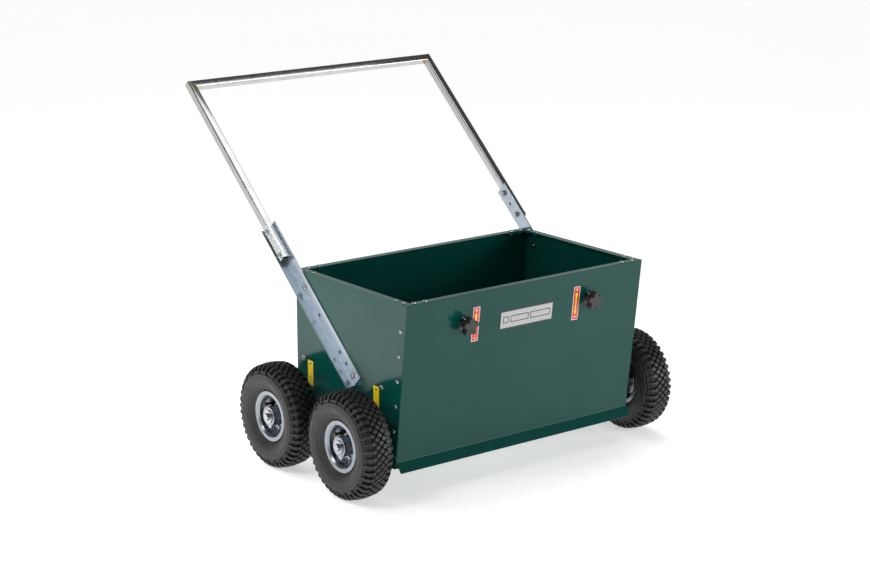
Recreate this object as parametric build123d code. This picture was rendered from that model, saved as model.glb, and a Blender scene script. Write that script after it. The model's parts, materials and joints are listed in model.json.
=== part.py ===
from build123d import *
import math
import os

os.makedirs("parts", exist_ok=True)

# Walk-behind drop spreader (top dresser) on four pneumatic wheels.
# Millimetres, +Z up, +X to one side, +Y towards the operator's handle.
# Everything is drawn with Y = 0 at the front axle; write_parts() then centres the whole
# machine in Y, so the origin is on the ground at the centre of the overall box.

# ------------------------------------------------------------------ driving dimensions
# Hopper
hopper_width = 726.0        # over the side panels
rim_height = 477.0          # top of the rim above the ground
front_rim_ahead = 122.0     # rim edge ahead of the front axle
rear_rim_behind = 31.0      # rim edge behind the rear axle
front_lean_deg = 6.74       # front panel leans in towards its foot
fold_height = 89.0          # fold between front panel and lip
lip_length = 28.5
lip_out_deg = 37.0          # lip leans out from the vertical
side_foot_height = 78.0     # lower edge of the side panels
rear_foot_height = 270.0    # lower edge of the rear panel
floor_top_height = 300.0    # where the sloping floor meets the rear panel
sheet = 2.0                 # hopper sheet
rim_flange = 20.0           # inward flange round the mouth
return_flange = 25.0        # side returns of the front panel
return_top_gap = 1.0        # between a return and the gusset above it
return_foot_rise = 6.0      # foot of a return above the fold and the trough
mitre_gap = 0.5
gusset_leg = 76.0
gusset_thickness = 3.0
gusset_edge_gap = 1.0          # from the inside of the panels
gusset_inner_bevel = 8.0
gusset_screws = (27.0, 58.0)   # from the corner along each flange
gusset_screw_inset = 11.0      # from the outer edge of the rim

# Metering: rotor on the live front axle, gate behind the front panel
rotor_radius = 52.0
rotor_trough_gap = 6.0
rotor_side_gap = 17.0
rotor_tube_radius = 30.0
rotor_tube_wall = 3.0
rotor_disc_thickness = 6.0
blade_count = 8
blade_thickness = 8.0
gate_thickness = 3.0
gate_height = 69.0
gate_rest_drop = 8.0        # gate edge below the fold as stored
gate_travel = 12.0          # each way from the stored position
gate_gap = 0.3              # sliding gap to the front panel
gate_side_gap = 1.5
gate_trough_gap = 0.8
strap_width = 30.0
strap_above_stud = 22.0
stud_radius = 4.0
stud_slot_gap = 0.6
stud_reach = 27.0           # outside the front panel
knob_x = 193.0
knob_drop = 71.0            # below the rim, along the panel
knob_washer_radius = 13.0
knob_washer_thickness = 1.6
knob_gap = 0.2
knob_height = 30.0
knob_lobes = 5
knob_lobe_radius = 7.5
knob_lobe_pitch = 15.0
knob_boss_radius = 11.0
knob_boss_taper = 2.0
knob_boss_height = 12.0
knob_edge = 2.5
knob_bore_end = 1.0         # space past the end of the stud

# Wheels, size 3.00-4
tyre_radius = 130.0
tyre_width = 85.0
tyre_wall = 7.0
crown_wall = 10.0
crown_flat_share = 0.47     # share of the width that the flat crown takes
crown_fall = 2.0            # the crown's edge, below its middle
round_shoulder = (11.0, 5.0)    # inset from the side, drop from the tread
shoulder_inset = 5.0
shoulder_drop = 13.0
inner_shoulder_drop = 17.0
bead_radius = 50.8
bead_gap = 0.2
tube_wall = 2.5
tube_gap = 0.4
rim_width = 57.5
rim_radius = 62.5
rim_sheet = 2.5
rim_corner = 3.0            # chamfer between barrel and flange
dish_drop = 9.0             # flat disc ends this far inside the barrel
dish_width = 11.0
barrel_taper = 0.6
belly_share = 0.58          # height of the widest point, from bead to tread
rim_bolt_circle = 32.0      # radius
rim_bolt_count = 4
hub_radius = 24.0
hub_length = 62.0
hub_bore_gap = 3.0          # round the axle between the two bearings
wheel_side_gap = 34.5       # between side panel and tyre
tyre_to_tyre = 34.0         # between the front and rear tyres
slot_inner = 28.0           # window in the discs for the valve
slot_outer = 39.0
slot_half_deg = 17.0
valve_radius = 3.6
valve_gap = 1.0
valve_elbow = 34.0          # radius at which the stem turns outwards
valve_length = 20.0
valve_cap = 8.0
valve_cap_wall = 1.0
valve_cap_edge = 1.2
notch_overrun = 4.0         # the valve's notch runs this far past the barrel
valve_turn_deg = -45.0      # from straight above the hub

# Axles and their flanges
axle_radius = 10.0
running_gap = 0.05
bearing_radius = 21.0
bearing_width = 12.0
flange_thickness = 8.0
flange_boss_radius = 27.0
flange_boss_length = 22.0
flange_boss_edge = 1.5
flange_bolt_reach = 36.0
flange_ear_radius = 12.0
flange_bore_gap = 2.0
spacer_radius = 15.0
spacer_gap = 0.5            # end float of the spacer against the boss
key_width = 6.0
key_length = 40.0
end_washer_radius = 16.0
end_washer_thickness = 3.0
end_bolt_thread = 26.0      # inside the axle
axle_tap_depth = 30.0
axle_edge = 0.4
panel_axle_clearance = 4.0

# Handle: angle arms on the side panels, mitred square tube
arm_tilt_deg = 48.1         # from the vertical, leaning back
arm_foot_y = 86.0           # outer corner line of the angle at its lower end
arm_foot_drop = 242.0       # the same, below the rim
arm_length = 474.0
arm_flat = 40.0
arm_out = 24.0
arm_thickness = 3.0
arm_hole_line = 18.5        # from the corner of the angle
arm_bolts = (21.0, 282.0)   # along the arm
arm_spare_holes = (56.0, 90.5, 201.0)
arm_out_hole = 262.0        # in the standing leg
tube_size = 20.0
tube_corner = 3.0
tube_thickness = 2.0
tube_start = 374.0          # along the arm's line
tube_end = 938.0
tube_bolts = (385.0, 456.5)
tube_spare_hole = 421.0

# Cross ties between the side panels
tie_radius = 8.0
tie_wall = 2.0
tie_plug = 20.0             # solid, tapped end
tie_bolt_short = 2.0        # bolt ends this far short of the plug's inner end
front_tie = (-22.0, 260.0)      # (y, z)
rear_tie_ahead = 32.0           # ahead of the rear panel's outer face
rear_tie_height = 261.0

# Fasteners: (shank radius, head radius, head height, nut across flats, nut height)
m6 = (3.0, 5.4, 3.3, 10.0, 5.0)
m8 = (4.0, 7.0, 4.4, 13.0, 6.5)
m10_hex = (5.0, 16.0, 6.4)      # shank radius, across flats, head height
dome_share = 0.7                # rounded part of a button head's height
socket_share = 0.62             # socket's inner radius as a share of the shank's
socket_start_share = 0.45       # socket's floor as a share of the head's height
hex_foot_share = 0.66           # cone that breaks the corners of a hex head
hex_top_share = 0.5
hole_gap = 0.3
nut_gap = 0.05
bolt_end = 1.5                  # thread showing past the nut
side_bolt_drop = 66.0           # top bolt on the side panel, below the rim
side_bolt_rise = 76.0           # lowest bolt, above the fold
side_bolt_count = 5
side_bolt_inset = 16.5          # behind the front edge

# Labels and plates
plate_size = (164.0, 45.0, 1.0)
plate_drop = 85.0
red_label = (20.0, 86.0, 0.3)
red_label_x = 156.0
red_label_drop = 80.0
yellow_label = (22.0, 62.0, 0.3)
yellow_label_rise = 18.0            # above the axle flange's upper ear
front_yellow_label_y = 0.0
rear_yellow_label_ahead = 56.0      # ahead of the rear panel's outer face

# ------------------------------------------------------------------ worked-out places
lean = math.radians(front_lean_deg)
tilt = math.radians(arm_tilt_deg)
half_width = hopper_width / 2
inner_half = half_width - sheet
front_y = -front_rim_ahead
rear_axle_y = 2 * tyre_radius + tyre_to_tyre
rear_y = rear_axle_y + rear_rim_behind
axle_z = tyre_radius
wheel_x = half_width + wheel_side_gap + tyre_width / 2
slope_length = (rim_height - fold_height) / math.cos(lean)
trough_radius = rotor_radius + rotor_trough_gap
trough_z = axle_z - trough_radius
rotor_half = inner_half - rotor_side_gap
arm_foot_z = rim_height - arm_foot_drop
tube_offset = arm_hole_line - tube_size / 2      # from the corner of the angle
tie_places = (front_tie, (rear_y - rear_tie_ahead, rear_tie_height))
m6_hole = m6[0] + hole_gap
m8_hole = m8[0] + hole_gap


def panel_y(z):
    """Y of the front panel's outer face at height z."""
    return front_y + (rim_height - z) * math.tan(lean)


gate_depth = sheet + gate_gap + gate_thickness
trough_front_y = panel_y(trough_z) + gate_depth / math.cos(lean) + gate_trough_gap
fold_y = panel_y(fold_height)

# Front panel plane: x along the machine's width, y up the slope, z outwards.
front_plane = Plane(
    origin=(0, front_y, rim_height),
    x_dir=(1, 0, 0),
    z_dir=(0, -math.cos(lean), -math.sin(lean)),
)
# Left arm plane: x outwards, y square to the arm (forwards and up), z along the arm.
arm_plane = Plane(
    origin=(-half_width, arm_foot_y, arm_foot_z),
    x_dir=(-1, 0, 0),
    z_dir=(0, math.sin(tilt), math.cos(tilt)),
)
# Drawing plane for outlines given as (y, z), extruded along +X.
side_plane = Plane.YZ

# A solid that stands on z = 0, and one that hangs below it.
upwards = (Align.CENTER, Align.CENTER, Align.MIN)
downwards = (Align.CENTER, Align.CENTER, Align.MAX)

parts = {}


# ------------------------------------------------------------------ helpers
def add(node, *shapes):
    """Keep one node: a single piece, or a group of separate solids."""
    parts[node] = [solid for shape in shapes for solid in shape.solids()]


def write_parts():
    """Centre the machine in Y and write each node as one STEP file."""
    boxes = [solid.bounding_box() for solids in parts.values() for solid in solids]
    front = min(box.min.Y for box in boxes)
    back = max(box.max.Y for box in boxes)
    shift = -(front + back) / 2
    for node, solids in parts.items():
        moved = [Pos(0, shift, 0) * solid for solid in solids]
        group = moved[0] if len(moved) == 1 else Compound(children=moved)
        export_step(group, f"parts/{node}.step")
    print("front axle at y =", round(shift, 4))


def mirrored(shape):
    return mirror(shape, about=Plane.YZ)


def as_drawn(shape):
    return shape


def both(shape):
    """The left piece and its mirror image on the right."""
    return [shape, mirrored(shape)]


def slab(outline, x_from, x_to):
    """Solid from an outline of (y, z) points between two X planes."""
    face = make_face(Polyline(*outline, close=True))
    return Pos(x_from, 0, 0) * extrude(side_plane * face, amount=x_to - x_from)


def strip_outline(points, thickness):
    """Closed outline of a bent strip: the points are one face, the other lies to their left."""
    count = len(points)
    other = []
    for i, (u, v) in enumerate(points):
        before = points[max(i - 1, 0)]
        after = points[min(i + 1, count - 1)]
        normals = []
        for (u0, v0), (u1, v1) in ((before, (u, v)), ((u, v), after)):
            run = math.hypot(u1 - u0, v1 - v0)
            if run > 0:
                normals.append(((v0 - v1) / run, (u1 - u0) / run))
        (a0, b0), (a1, b1) = normals[0], normals[-1]
        reach = thickness / (1 + a0 * a1 + b0 * b1)
        other.append((u + (a0 + a1) * reach, v + (b0 + b1) * reach))
    return list(points) + other[::-1]


def hexagon(flats):
    """Hexagon of the given width across its flats."""
    return RegularPolygon(flats / 2, 6, major_radius=False)


def drill(radius, wall):
    """Cutter for a hole through a wall, long enough from either face."""
    return Cylinder(radius, 4 * wall)


def dome_bolt(size, grip):
    """Button-head bolt: head above z = 0, shank below through grip plus nut."""
    radius, head_radius, head_height, _, nut_height = size
    head = Cylinder(head_radius, head_height, align=upwards)
    head = fillet(head.edges().sort_by(Axis.Z)[-1], head_height * dome_share)
    socket = extrude(hexagon(2 * radius * socket_share), amount=head_height)
    head -= Pos(0, 0, head_height * socket_start_share) * socket
    length = grip + nut_height + bolt_end
    shank = Cylinder(radius, length, align=downwards)
    return head + shank


def hex_nut(size, grip):
    """Nut for dome_bolt: its bearing face is at z = -grip."""
    radius, _, _, flats, height = size
    nut = extrude(hexagon(flats) - Circle(radius + nut_gap), amount=height)
    return Pos(0, 0, -grip - height) * nut


def bolt_and_nut(size, grip):
    return [dome_bolt(size, grip), hex_nut(size, grip)]


def place(location, shapes):
    return [location * shape for shape in shapes]


def outward_left(y, z):
    """Frame on the left panel's outer face, z pointing away from the hopper."""
    return Plane(origin=(-half_width, y, z), x_dir=(0, 1, 0), z_dir=(-1, 0, 0)).location


def side_hole(y, z, radius):
    """Cutter for a hole through the left side panel and what is just behind it."""
    return outward_left(y, z) * drill(radius, 2 * sheet)


def arm_point(across, along, out=0.0):
    """Frame on the left arm with z pointing outwards."""
    base = arm_plane * Pos(out, across, along)
    return base * Rot(0, 90, 0)


def ring(outer, inner, length):
    return Cylinder(outer, length) - Cylinder(inner, length)


def along_x(shape):
    return Rot(0, 90, 0) * shape


# ------------------------------------------------------------------ hopper
def rim_plate(corners, thickness, top):
    face = make_face(Polyline(*corners, close=True))
    return Pos(0, 0, top - thickness) * extrude(face, amount=thickness)


def gusset_screw_places():
    """(x, y) of the rim screws over the left front corner, then the left rear corner."""
    inset = gusset_screw_inset
    places = []
    for reach in gusset_screws:
        places.append((-half_width + inset, front_y + reach))
        places.append((-half_width + reach, front_y + inset))
        places.append((-half_width + inset, rear_y - reach))
        places.append((-half_width + reach, rear_y - inset))
    return places


def drill_rim(shape):
    for x, y in gusset_screw_places():
        for side in (1, -1):
            shape -= Pos(side * x, y, rim_height) * drill(m6_hole, sheet + gusset_thickness)
    return shape


def rim_screws():
    grip = sheet + gusset_thickness
    screws = []
    for x, y in gusset_screw_places():
        for side in (1, -1):
            screws.extend(place(Pos(side * x, y, rim_height), bolt_and_nut(m6, grip)))
    return screws


def corner_gusset(y_edge, inward):
    """L-shaped plate under the left corner of the rim; inward is +1 at the front, -1 behind."""
    edge = sheet + gusset_edge_gap
    wide = rim_flange
    bevel = wide + gusset_inner_bevel
    leg = gusset_leg
    outline = [(edge, edge), (leg, edge), (leg, wide), (bevel, wide), (wide, bevel), (wide, leg), (edge, leg)]
    corners = [(-half_width + u, y_edge + inward * v) for u, v in outline]
    return rim_plate(corners, gusset_thickness, rim_height - sheet)


def side_bolt_places():
    top = rim_height - side_bolt_drop
    pitch = (top - fold_height - side_bolt_rise) / (side_bolt_count - 1)
    heights = [top - i * pitch for i in range(side_bolt_count)]
    return [(panel_y(z) + side_bolt_inset, z) for z in heights]


def front_panel():
    lip = math.radians(lip_out_deg)
    face_points = [
        (front_y, rim_height),
        (fold_y, fold_height),
        (fold_y - lip_length * math.sin(lip), fold_height - lip_length * math.cos(lip)),
    ]
    wall = slab(strip_outline(face_points, sheet), -inner_half, inner_half)
    flange = rim_plate(
        [
            (-half_width + mitre_gap, front_y),
            (half_width - mitre_gap, front_y),
            (half_width - rim_flange - mitre_gap, front_y + rim_flange),
            (-half_width + rim_flange + mitre_gap, front_y + rim_flange),
        ],
        sheet,
        rim_height,
    )
    top = rim_height - sheet - gusset_thickness - return_top_gap
    foot = max(fold_height, trough_z) + return_foot_rise
    side_return = slab(
        [
            (panel_y(top), top),
            (panel_y(top) + return_flange, top),
            (panel_y(foot) + return_flange, foot),
            (panel_y(foot), foot),
        ],
        -inner_half,
        -inner_half + sheet,
    )
    panel = drill_rim(wall + flange + side_return + mirrored(side_return))
    for y, z in side_bolt_places():
        for hole in both(side_hole(y, z, m6_hole)):
            panel -= hole
    slot = SlotCenterToCenter(2 * gate_travel, 2 * (stud_radius + stud_slot_gap), rotation=90)
    cutter = extrude(slot, amount=2 * sheet, both=True)
    for x in (-knob_x, knob_x):
        panel -= front_plane * Pos(x, -knob_drop, 0) * cutter
    return panel


def rear_panel():
    wall = slab(
        [
            (rear_y, rim_height),
            (rear_y, rear_foot_height),
            (rear_y - sheet, rear_foot_height),
            (rear_y - sheet, rim_height),
        ],
        -inner_half,
        inner_half,
    )
    flange = rim_plate(
        [
            (-half_width + mitre_gap, rear_y),
            (half_width - mitre_gap, rear_y),
            (half_width - rim_flange - mitre_gap, rear_y - rim_flange),
            (-half_width + rim_flange + mitre_gap, rear_y - rim_flange),
        ],
        sheet,
        rim_height,
    )
    return drill_rim(wall + flange)


def side_panel():
    """Left side panel with its mitred rim flange and all its holes."""
    wall = slab(
        [
            (rear_y, rim_height - sheet),
            (rear_y, side_foot_height),
            (panel_y(side_foot_height), side_foot_height),
            (panel_y(rim_height - sheet), rim_height - sheet),
        ],
        -half_width,
        -inner_half,
    )
    flange = rim_plate(
        [
            (-half_width, front_y + mitre_gap),
            (-half_width + rim_flange, front_y + rim_flange + mitre_gap),
            (-half_width + rim_flange, rear_y - rim_flange - mitre_gap),
            (-half_width, rear_y - mitre_gap),
        ],
        sheet,
        rim_height,
    )
    panel = drill_rim(wall + flange)
    for y, z in side_bolt_places():
        panel -= side_hole(y, z, m6_hole)
    for y, z in tie_places:
        panel -= side_hole(y, z, m8_hole)
    for axle_y in (0.0, rear_axle_y):
        panel -= side_hole(axle_y, axle_z, axle_radius + panel_axle_clearance)
        for side in (-1, 1):
            panel -= side_hole(axle_y, axle_z + side * flange_bolt_reach, m8_hole)
    for along in arm_bolts:
        panel -= arm_point(arm_hole_line, along) * drill(m8_hole, sheet)
    return panel


def hopper_floor():
    """Sloping floor that runs tangent into the trough under the rotor."""
    start_y = rear_y - sheet
    reach = math.hypot(start_y, floor_top_height - axle_z)
    touch = math.atan2(floor_top_height - axle_z, start_y) - math.acos(trough_radius / reach)
    middle = (touch - math.pi / 2) / 2
    outer = trough_radius + sheet
    drop = sheet / math.cos(touch + math.pi / 2)

    def on(radius, angle):
        return (radius * math.cos(angle), axle_z + radius * math.sin(angle))

    edges = [
        Line((start_y, floor_top_height), on(trough_radius, touch)),
        ThreePointArc(on(trough_radius, touch), on(trough_radius, middle), (0, trough_z)),
        Line((0, trough_z), (trough_front_y, trough_z)),
        Line((trough_front_y, trough_z), (trough_front_y, trough_z - sheet)),
        Line((trough_front_y, trough_z - sheet), (0, trough_z - sheet)),
        ThreePointArc((0, trough_z - sheet), on(outer, middle), on(outer, touch)),
        Line(on(outer, touch), (start_y, floor_top_height - drop)),
        Line((start_y, floor_top_height - drop), (start_y, floor_top_height)),
    ]
    return Pos(-inner_half, 0, 0) * extrude(side_plane * make_face(edges), amount=2 * inner_half)


def side_bolts():
    grip = 2 * sheet
    bolts = []
    for y, z in side_bolt_places():
        for shape in place(outward_left(y, z), bolt_and_nut(m6, grip)):
            bolts.extend(both(shape))
    return bolts


def cross_ties():
    """Tubes with threaded ends that hold the side panels apart, and their bolts."""
    ties = []
    bolts = []
    radius, head_radius, head_height, flats, _ = m8
    screwed_in = tie_plug - tie_bolt_short
    bolt = dome_bolt((radius, head_radius, head_height, flats, screwed_in - bolt_end), sheet)
    for y, z in tie_places:
        tube = Cylinder(tie_radius, 2 * inner_half)
        tube -= Cylinder(tie_radius - tie_wall, 2 * (inner_half - tie_plug))
        tube -= Cylinder(radius + nut_gap, 2 * inner_half)
        ties.append(Pos(0, y, z) * along_x(tube))
        bolts.extend(both(outward_left(y, z) * bolt))
    return ties, bolts


# ------------------------------------------------------------------ axle flanges
def flange_body(bore):
    """Oval cast flange with an ear above and below; its seat is z = 0, its boss stands up."""
    rounds = [Circle(flange_boss_radius).edge()]
    for side in (-1, 1):
        rounds.append((Pos(0, side * flange_bolt_reach) * Circle(flange_ear_radius)).edge())
    body = extrude(make_hull(rounds), amount=flange_thickness)
    body += Cylinder(flange_boss_radius, flange_boss_length, align=upwards)
    body = chamfer(body.edges().filter_by(GeomType.CIRCLE).sort_by(Axis.Z)[-1], flange_boss_edge)
    body -= drill(bore, flange_boss_length)
    for side in (-1, 1):
        body -= Pos(0, side * flange_bolt_reach) * drill(m8_hole, flange_thickness)
    return body


def front_flange():
    pocket = Cylinder(bearing_radius, bearing_width, align=downwards)
    body = flange_body(axle_radius + flange_bore_gap) - Pos(0, 0, flange_boss_length) * pocket
    return outward_left(0, axle_z) * body


def front_bearing():
    ball_race = ring(bearing_radius - nut_gap, axle_radius + running_gap, bearing_width - nut_gap)
    middle = flange_boss_length - (bearing_width - nut_gap) / 2
    return outward_left(0, axle_z) * Pos(0, 0, middle) * ball_race


def rear_flange():
    return outward_left(rear_axle_y, axle_z) * flange_body(axle_radius + running_gap)


def flange_bolts(axle_y):
    bolts = []
    for side in (-1, 1):
        here = outward_left(axle_y, axle_z + side * flange_bolt_reach) * Pos(0, 0, flange_thickness)
        for shape in place(here, bolt_and_nut(m8, flange_thickness + sheet)):
            bolts.extend(both(shape))
    return bolts


# ------------------------------------------------------------------ wheels
# A wheel is drawn round the X axis with its middle plane at x = 0 and its outer side at -x.
def turned(face):
    """Solid of revolution round X from a face drawn as (axial, radius) on the XY plane."""
    return revolve(face, axis=Axis.X)


def bead_place():
    """(axial, radius) of the corner where a bead sits in the rim."""
    return (rim_width / 2 - rim_sheet - bead_gap, bead_radius + bead_gap)


def casing_inside(inset):
    """Right half of the casing's inside, from the bead up, drawn in by inset, and its top point."""
    seat, base = bead_place()
    half = tyre_width / 2 - tyre_wall - inset
    neck = seat - tyre_wall - inset
    belly = (half, base + belly_share * (tyre_radius - base))
    top = (half - shoulder_inset, tyre_radius - inner_shoulder_drop - inset)
    foot = base + inset
    edges = [Line((neck, foot), (neck, rim_radius)), ThreePointArc((neck, rim_radius), belly, top)]
    crown = (0, tyre_radius - crown_wall - inset)
    return edges, top, crown, (neck, foot)


def with_mirror(edges):
    return edges + [edge.mirror(Plane.YZ) for edge in edges]


def tyre():
    half = tyre_width / 2
    seat, base = bead_place()
    shoulder = (half - shoulder_inset, tyre_radius - shoulder_drop)
    rounding = (half - round_shoulder[0], tyre_radius - round_shoulder[1])
    tread_edge = (half * crown_flat_share, tyre_radius - crown_fall)
    belly = (half, base + belly_share * (tyre_radius - base))
    inner, top, crown, (neck, foot) = casing_inside(0.0)
    right = inner + [
        Line((neck, foot), (seat - rim_corner, base)),
        Line((seat - rim_corner, base), (seat, base + rim_corner)),
        Line((seat, base + rim_corner), (seat, rim_radius)),
        ThreePointArc((seat, rim_radius), belly, shoulder),
        ThreePointArc(shoulder, rounding, tread_edge),
    ]
    over = ThreePointArc(tread_edge, (0, tyre_radius), (-tread_edge[0], tread_edge[1]))
    under = ThreePointArc(top, crown, (-top[0], top[1]))
    return turned(make_face(with_mirror(right) + [over, under]))


def inner_tube():
    """Closed air tube filling the tyre, a little clear of the rim and the casing."""
    skins = []
    for inset in (tube_gap, tube_gap + tube_wall):
        edges, top, crown, (neck, foot) = casing_inside(inset)
        over = ThreePointArc(top, crown, (-top[0], top[1]))
        under = Line((-neck, foot), (neck, foot))
        skins.append(turned(make_face(with_mirror(edges) + [over, under])))
    return skins[0] - skins[1]


def rim_half():
    """Outer half of the split rim: flange, barrel and bolted disc."""
    edge = rim_width / 2
    points = [
        (0.0, hub_radius + nut_gap),
        (0.0, bead_radius - dish_drop),
        (-dish_width, bead_radius - barrel_taper),
        (-edge + rim_sheet + rim_corner, bead_radius),
        (-edge + rim_sheet, bead_radius + rim_corner),
        (-edge + rim_sheet, rim_radius),
    ]
    face = make_face(Polyline(*strip_outline(points, rim_sheet), close=True))
    half = turned(face)
    for i in range(rim_bolt_count):
        angle = 360.0 / rim_bolt_count * i
        half -= Rot(angle, 0, 0) * Pos(0, 0, rim_bolt_circle) * along_x(drill(m8_hole, rim_sheet))
    return half - valve_slot()


def valve_slot():
    """Curved window in the discs, with a notch through the barrel for the valve stem."""
    wide = 90.0 + slot_half_deg
    narrow = 90.0 - slot_half_deg

    def at(radius, degrees):
        return (radius * math.cos(math.radians(degrees)), radius * math.sin(math.radians(degrees)))

    outline = make_face([
        ThreePointArc(at(slot_inner, narrow), at(slot_inner, 90.0), at(slot_inner, wide)),
        Line(at(slot_inner, wide), at(slot_outer, wide)),
        ThreePointArc(at(slot_outer, wide), at(slot_outer, 90.0), at(slot_outer, narrow)),
        Line(at(slot_outer, narrow), at(slot_inner, narrow)),
    ])
    window = Plane.YZ * extrude(outline, amount=3 * rim_sheet, both=True)
    width = 2 * (valve_radius + valve_gap)
    notch_top = bead_radius + notch_overrun
    notch = Pos(0, 0, (slot_inner + notch_top) / 2) * Box(width, width, notch_top - slot_inner)
    return Rot(valve_turn_deg, 0, 0) * (window + notch)


def rim_pair():
    half = rim_half()
    return [half, mirror(half, about=Plane.YZ)]


def rim_bolts():
    bolts = []
    for i in range(rim_bolt_count):
        angle = 360.0 / rim_bolt_count * i
        here = Rot(angle, 0, 0) * Pos(-rim_sheet, 0, rim_bolt_circle) * Rot(0, -90, 0)
        bolts.extend(place(here, bolt_and_nut(m8, 2 * rim_sheet)))
    return bolts


def hub(bore):
    tube = ring(hub_radius, bore, hub_length)
    return along_x(tube)


def wheel_bearings():
    race = ring(bearing_radius - nut_gap, axle_radius + running_gap, bearing_width)
    middle = hub_length / 2 - bearing_width / 2
    return [along_x(Pos(0, 0, side * middle) * race) for side in (-1, 1)]


def bearing_hub():
    """Hub of a free-running wheel: a tube counterbored for a bearing at each end."""
    body = hub(axle_radius + hub_bore_gap)
    pocket = Pos(hub_length / 2, 0, 0) * along_x(Cylinder(bearing_radius, bearing_width, align=downwards))
    for cut in both(pocket):
        body -= cut
    return body


def keyed_hub():
    """Hub of a driven wheel, bored for the live axle with a keyway."""
    body = hub(axle_radius + running_gap)
    keyway = Box(hub_length, key_width + 2 * nut_gap, key_width)
    return body - Pos(0, 0, axle_radius + nut_gap) * keyway


def valve():
    """Bent stem from the air tube, through the notch, out of the outer disc's window."""
    foot = math.sqrt((bead_radius + bead_gap + tube_gap) ** 2 - valve_radius**2)
    root = Pos(0, 0, valve_elbow) * Cylinder(valve_radius, foot - valve_elbow, align=upwards)
    stem = Cylinder(valve_radius, valve_length, align=upwards)
    cap = Pos(0, 0, valve_length) * Cylinder(valve_radius + valve_cap_wall, valve_cap, align=upwards)
    cap = chamfer(cap.edges().sort_by(Axis.Z)[-1], valve_cap_edge)
    bent = root + Pos(0, 0, valve_elbow) * (Sphere(valve_radius) + Rot(0, -90, 0) * (stem + cap))
    return Rot(valve_turn_deg, 0, 0) * bent


def at_wheel(shape, axle_y):
    return Pos(-wheel_x, axle_y, axle_z) * shape


# ------------------------------------------------------------------ axles
def axle():
    """Round axle for both wheels with a tapped hole in each end."""
    length = 2 * (wheel_x + hub_length / 2 + nut_gap)
    shaft = Cylinder(axle_radius, length)
    tapped = Cylinder(m10_hex[0] + nut_gap, axle_tap_depth)
    for side, end in ((-1, 0), (1, -1)):
        shaft -= Pos(0, 0, side * (length - axle_tap_depth) / 2) * tapped
        shaft = chamfer(shaft.edges().filter_by(GeomType.CIRCLE).sort_by(Axis.Z)[end], axle_edge)
    return along_x(shaft)


def end_bolt(axle_y):
    """Hex bolt and washer that keep a wheel on the left end of an axle."""
    radius, flats, head = m10_hex
    bolt = extrude(hexagon(flats), amount=head)
    bolt = bolt & Cone(flats * hex_foot_share, flats * hex_top_share, head, align=upwards)
    bolt += Cylinder(radius, end_bolt_thread + end_washer_thickness, align=downwards)
    washer = ring(end_washer_radius, radius + nut_gap, end_washer_thickness)
    washer = Pos(0, 0, -end_washer_thickness / 2) * washer
    outside = wheel_x + hub_length / 2 + nut_gap + end_washer_thickness
    here = Plane(origin=(-outside, axle_y, axle_z), x_dir=(0, 1, 0), z_dir=(-1, 0, 0)).location
    return [here * bolt, here * washer]


def spacer(axle_y):
    """Tube on the axle between the flange boss and the hub."""
    start = half_width + flange_boss_length + spacer_gap
    stop = wheel_x - hub_length / 2 - nut_gap
    tube = ring(spacer_radius, axle_radius + running_gap, stop - start)
    return Pos(-(start + stop) / 2, axle_y, axle_z) * along_x(tube)


def axle_key():
    """Left wheel's key, half in the axle and half in the hub."""
    return Pos(-wheel_x, 0, axle_z + axle_radius) * Box(key_length, key_width, key_width)


def drive_axle():
    shaft = Pos(0, 0, axle_z) * axle()
    for seat in both(axle_key()):
        shaft -= seat
    return shaft


def rotor_tube():
    """Rotor drum between the side panels, carried on the live axle by two end discs."""
    drum = ring(rotor_tube_radius, rotor_tube_radius - rotor_tube_wall, 2 * rotor_half)
    return Pos(0, 0, axle_z) * along_x(drum)


def rotor_discs():
    outer = rotor_tube_radius - rotor_tube_wall - nut_gap
    disc = ring(outer, axle_radius + running_gap, rotor_disc_thickness)
    middle = rotor_half - rotor_disc_thickness / 2
    return [Pos(side * middle, 0, axle_z) * along_x(disc) for side in (-1, 1)]


def rotor_blades():
    """Rubber strips round the drum that carry the material to the gate."""
    depth = rotor_radius - rotor_tube_radius
    blades = []
    for i in range(blade_count):
        strip = Box(2 * rotor_half, blade_thickness, depth)
        turn = Rot(360.0 / blade_count * (i + 0.5), 0, 0)
        strip = Pos(0, 0, rotor_tube_radius + depth / 2) * strip
        blades.append(Pos(0, 0, axle_z) * turn * strip)
    return blades


# ------------------------------------------------------------------ gate and knobs
def gate_plate():
    half = inner_half - sheet - gate_side_gap
    bottom = slope_length + gate_rest_drop
    plate = Box(2 * half, gate_height, gate_thickness)
    return front_plane * Pos(0, -bottom + gate_height / 2, -gate_depth + gate_thickness / 2) * plate


def gate_strap(x):
    top = knob_drop - strap_above_stud
    foot = slope_length + gate_rest_drop - gate_height
    strap = Box(strap_width, foot - top, gate_thickness)
    return front_plane * Pos(x, -(top + foot) / 2, -gate_depth + gate_thickness / 2) * strap


def on_knob(x, height):
    return front_plane.location * Pos(x, -knob_drop, height)


def gate_stud(x):
    base = -sheet - gate_gap
    return on_knob(x, base) * Cylinder(stud_radius, stud_reach - base, align=upwards)


def knob_washer(x):
    middle = knob_gap + knob_washer_thickness / 2
    return on_knob(x, middle) * ring(knob_washer_radius, stud_radius + nut_gap, knob_washer_thickness)


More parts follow.
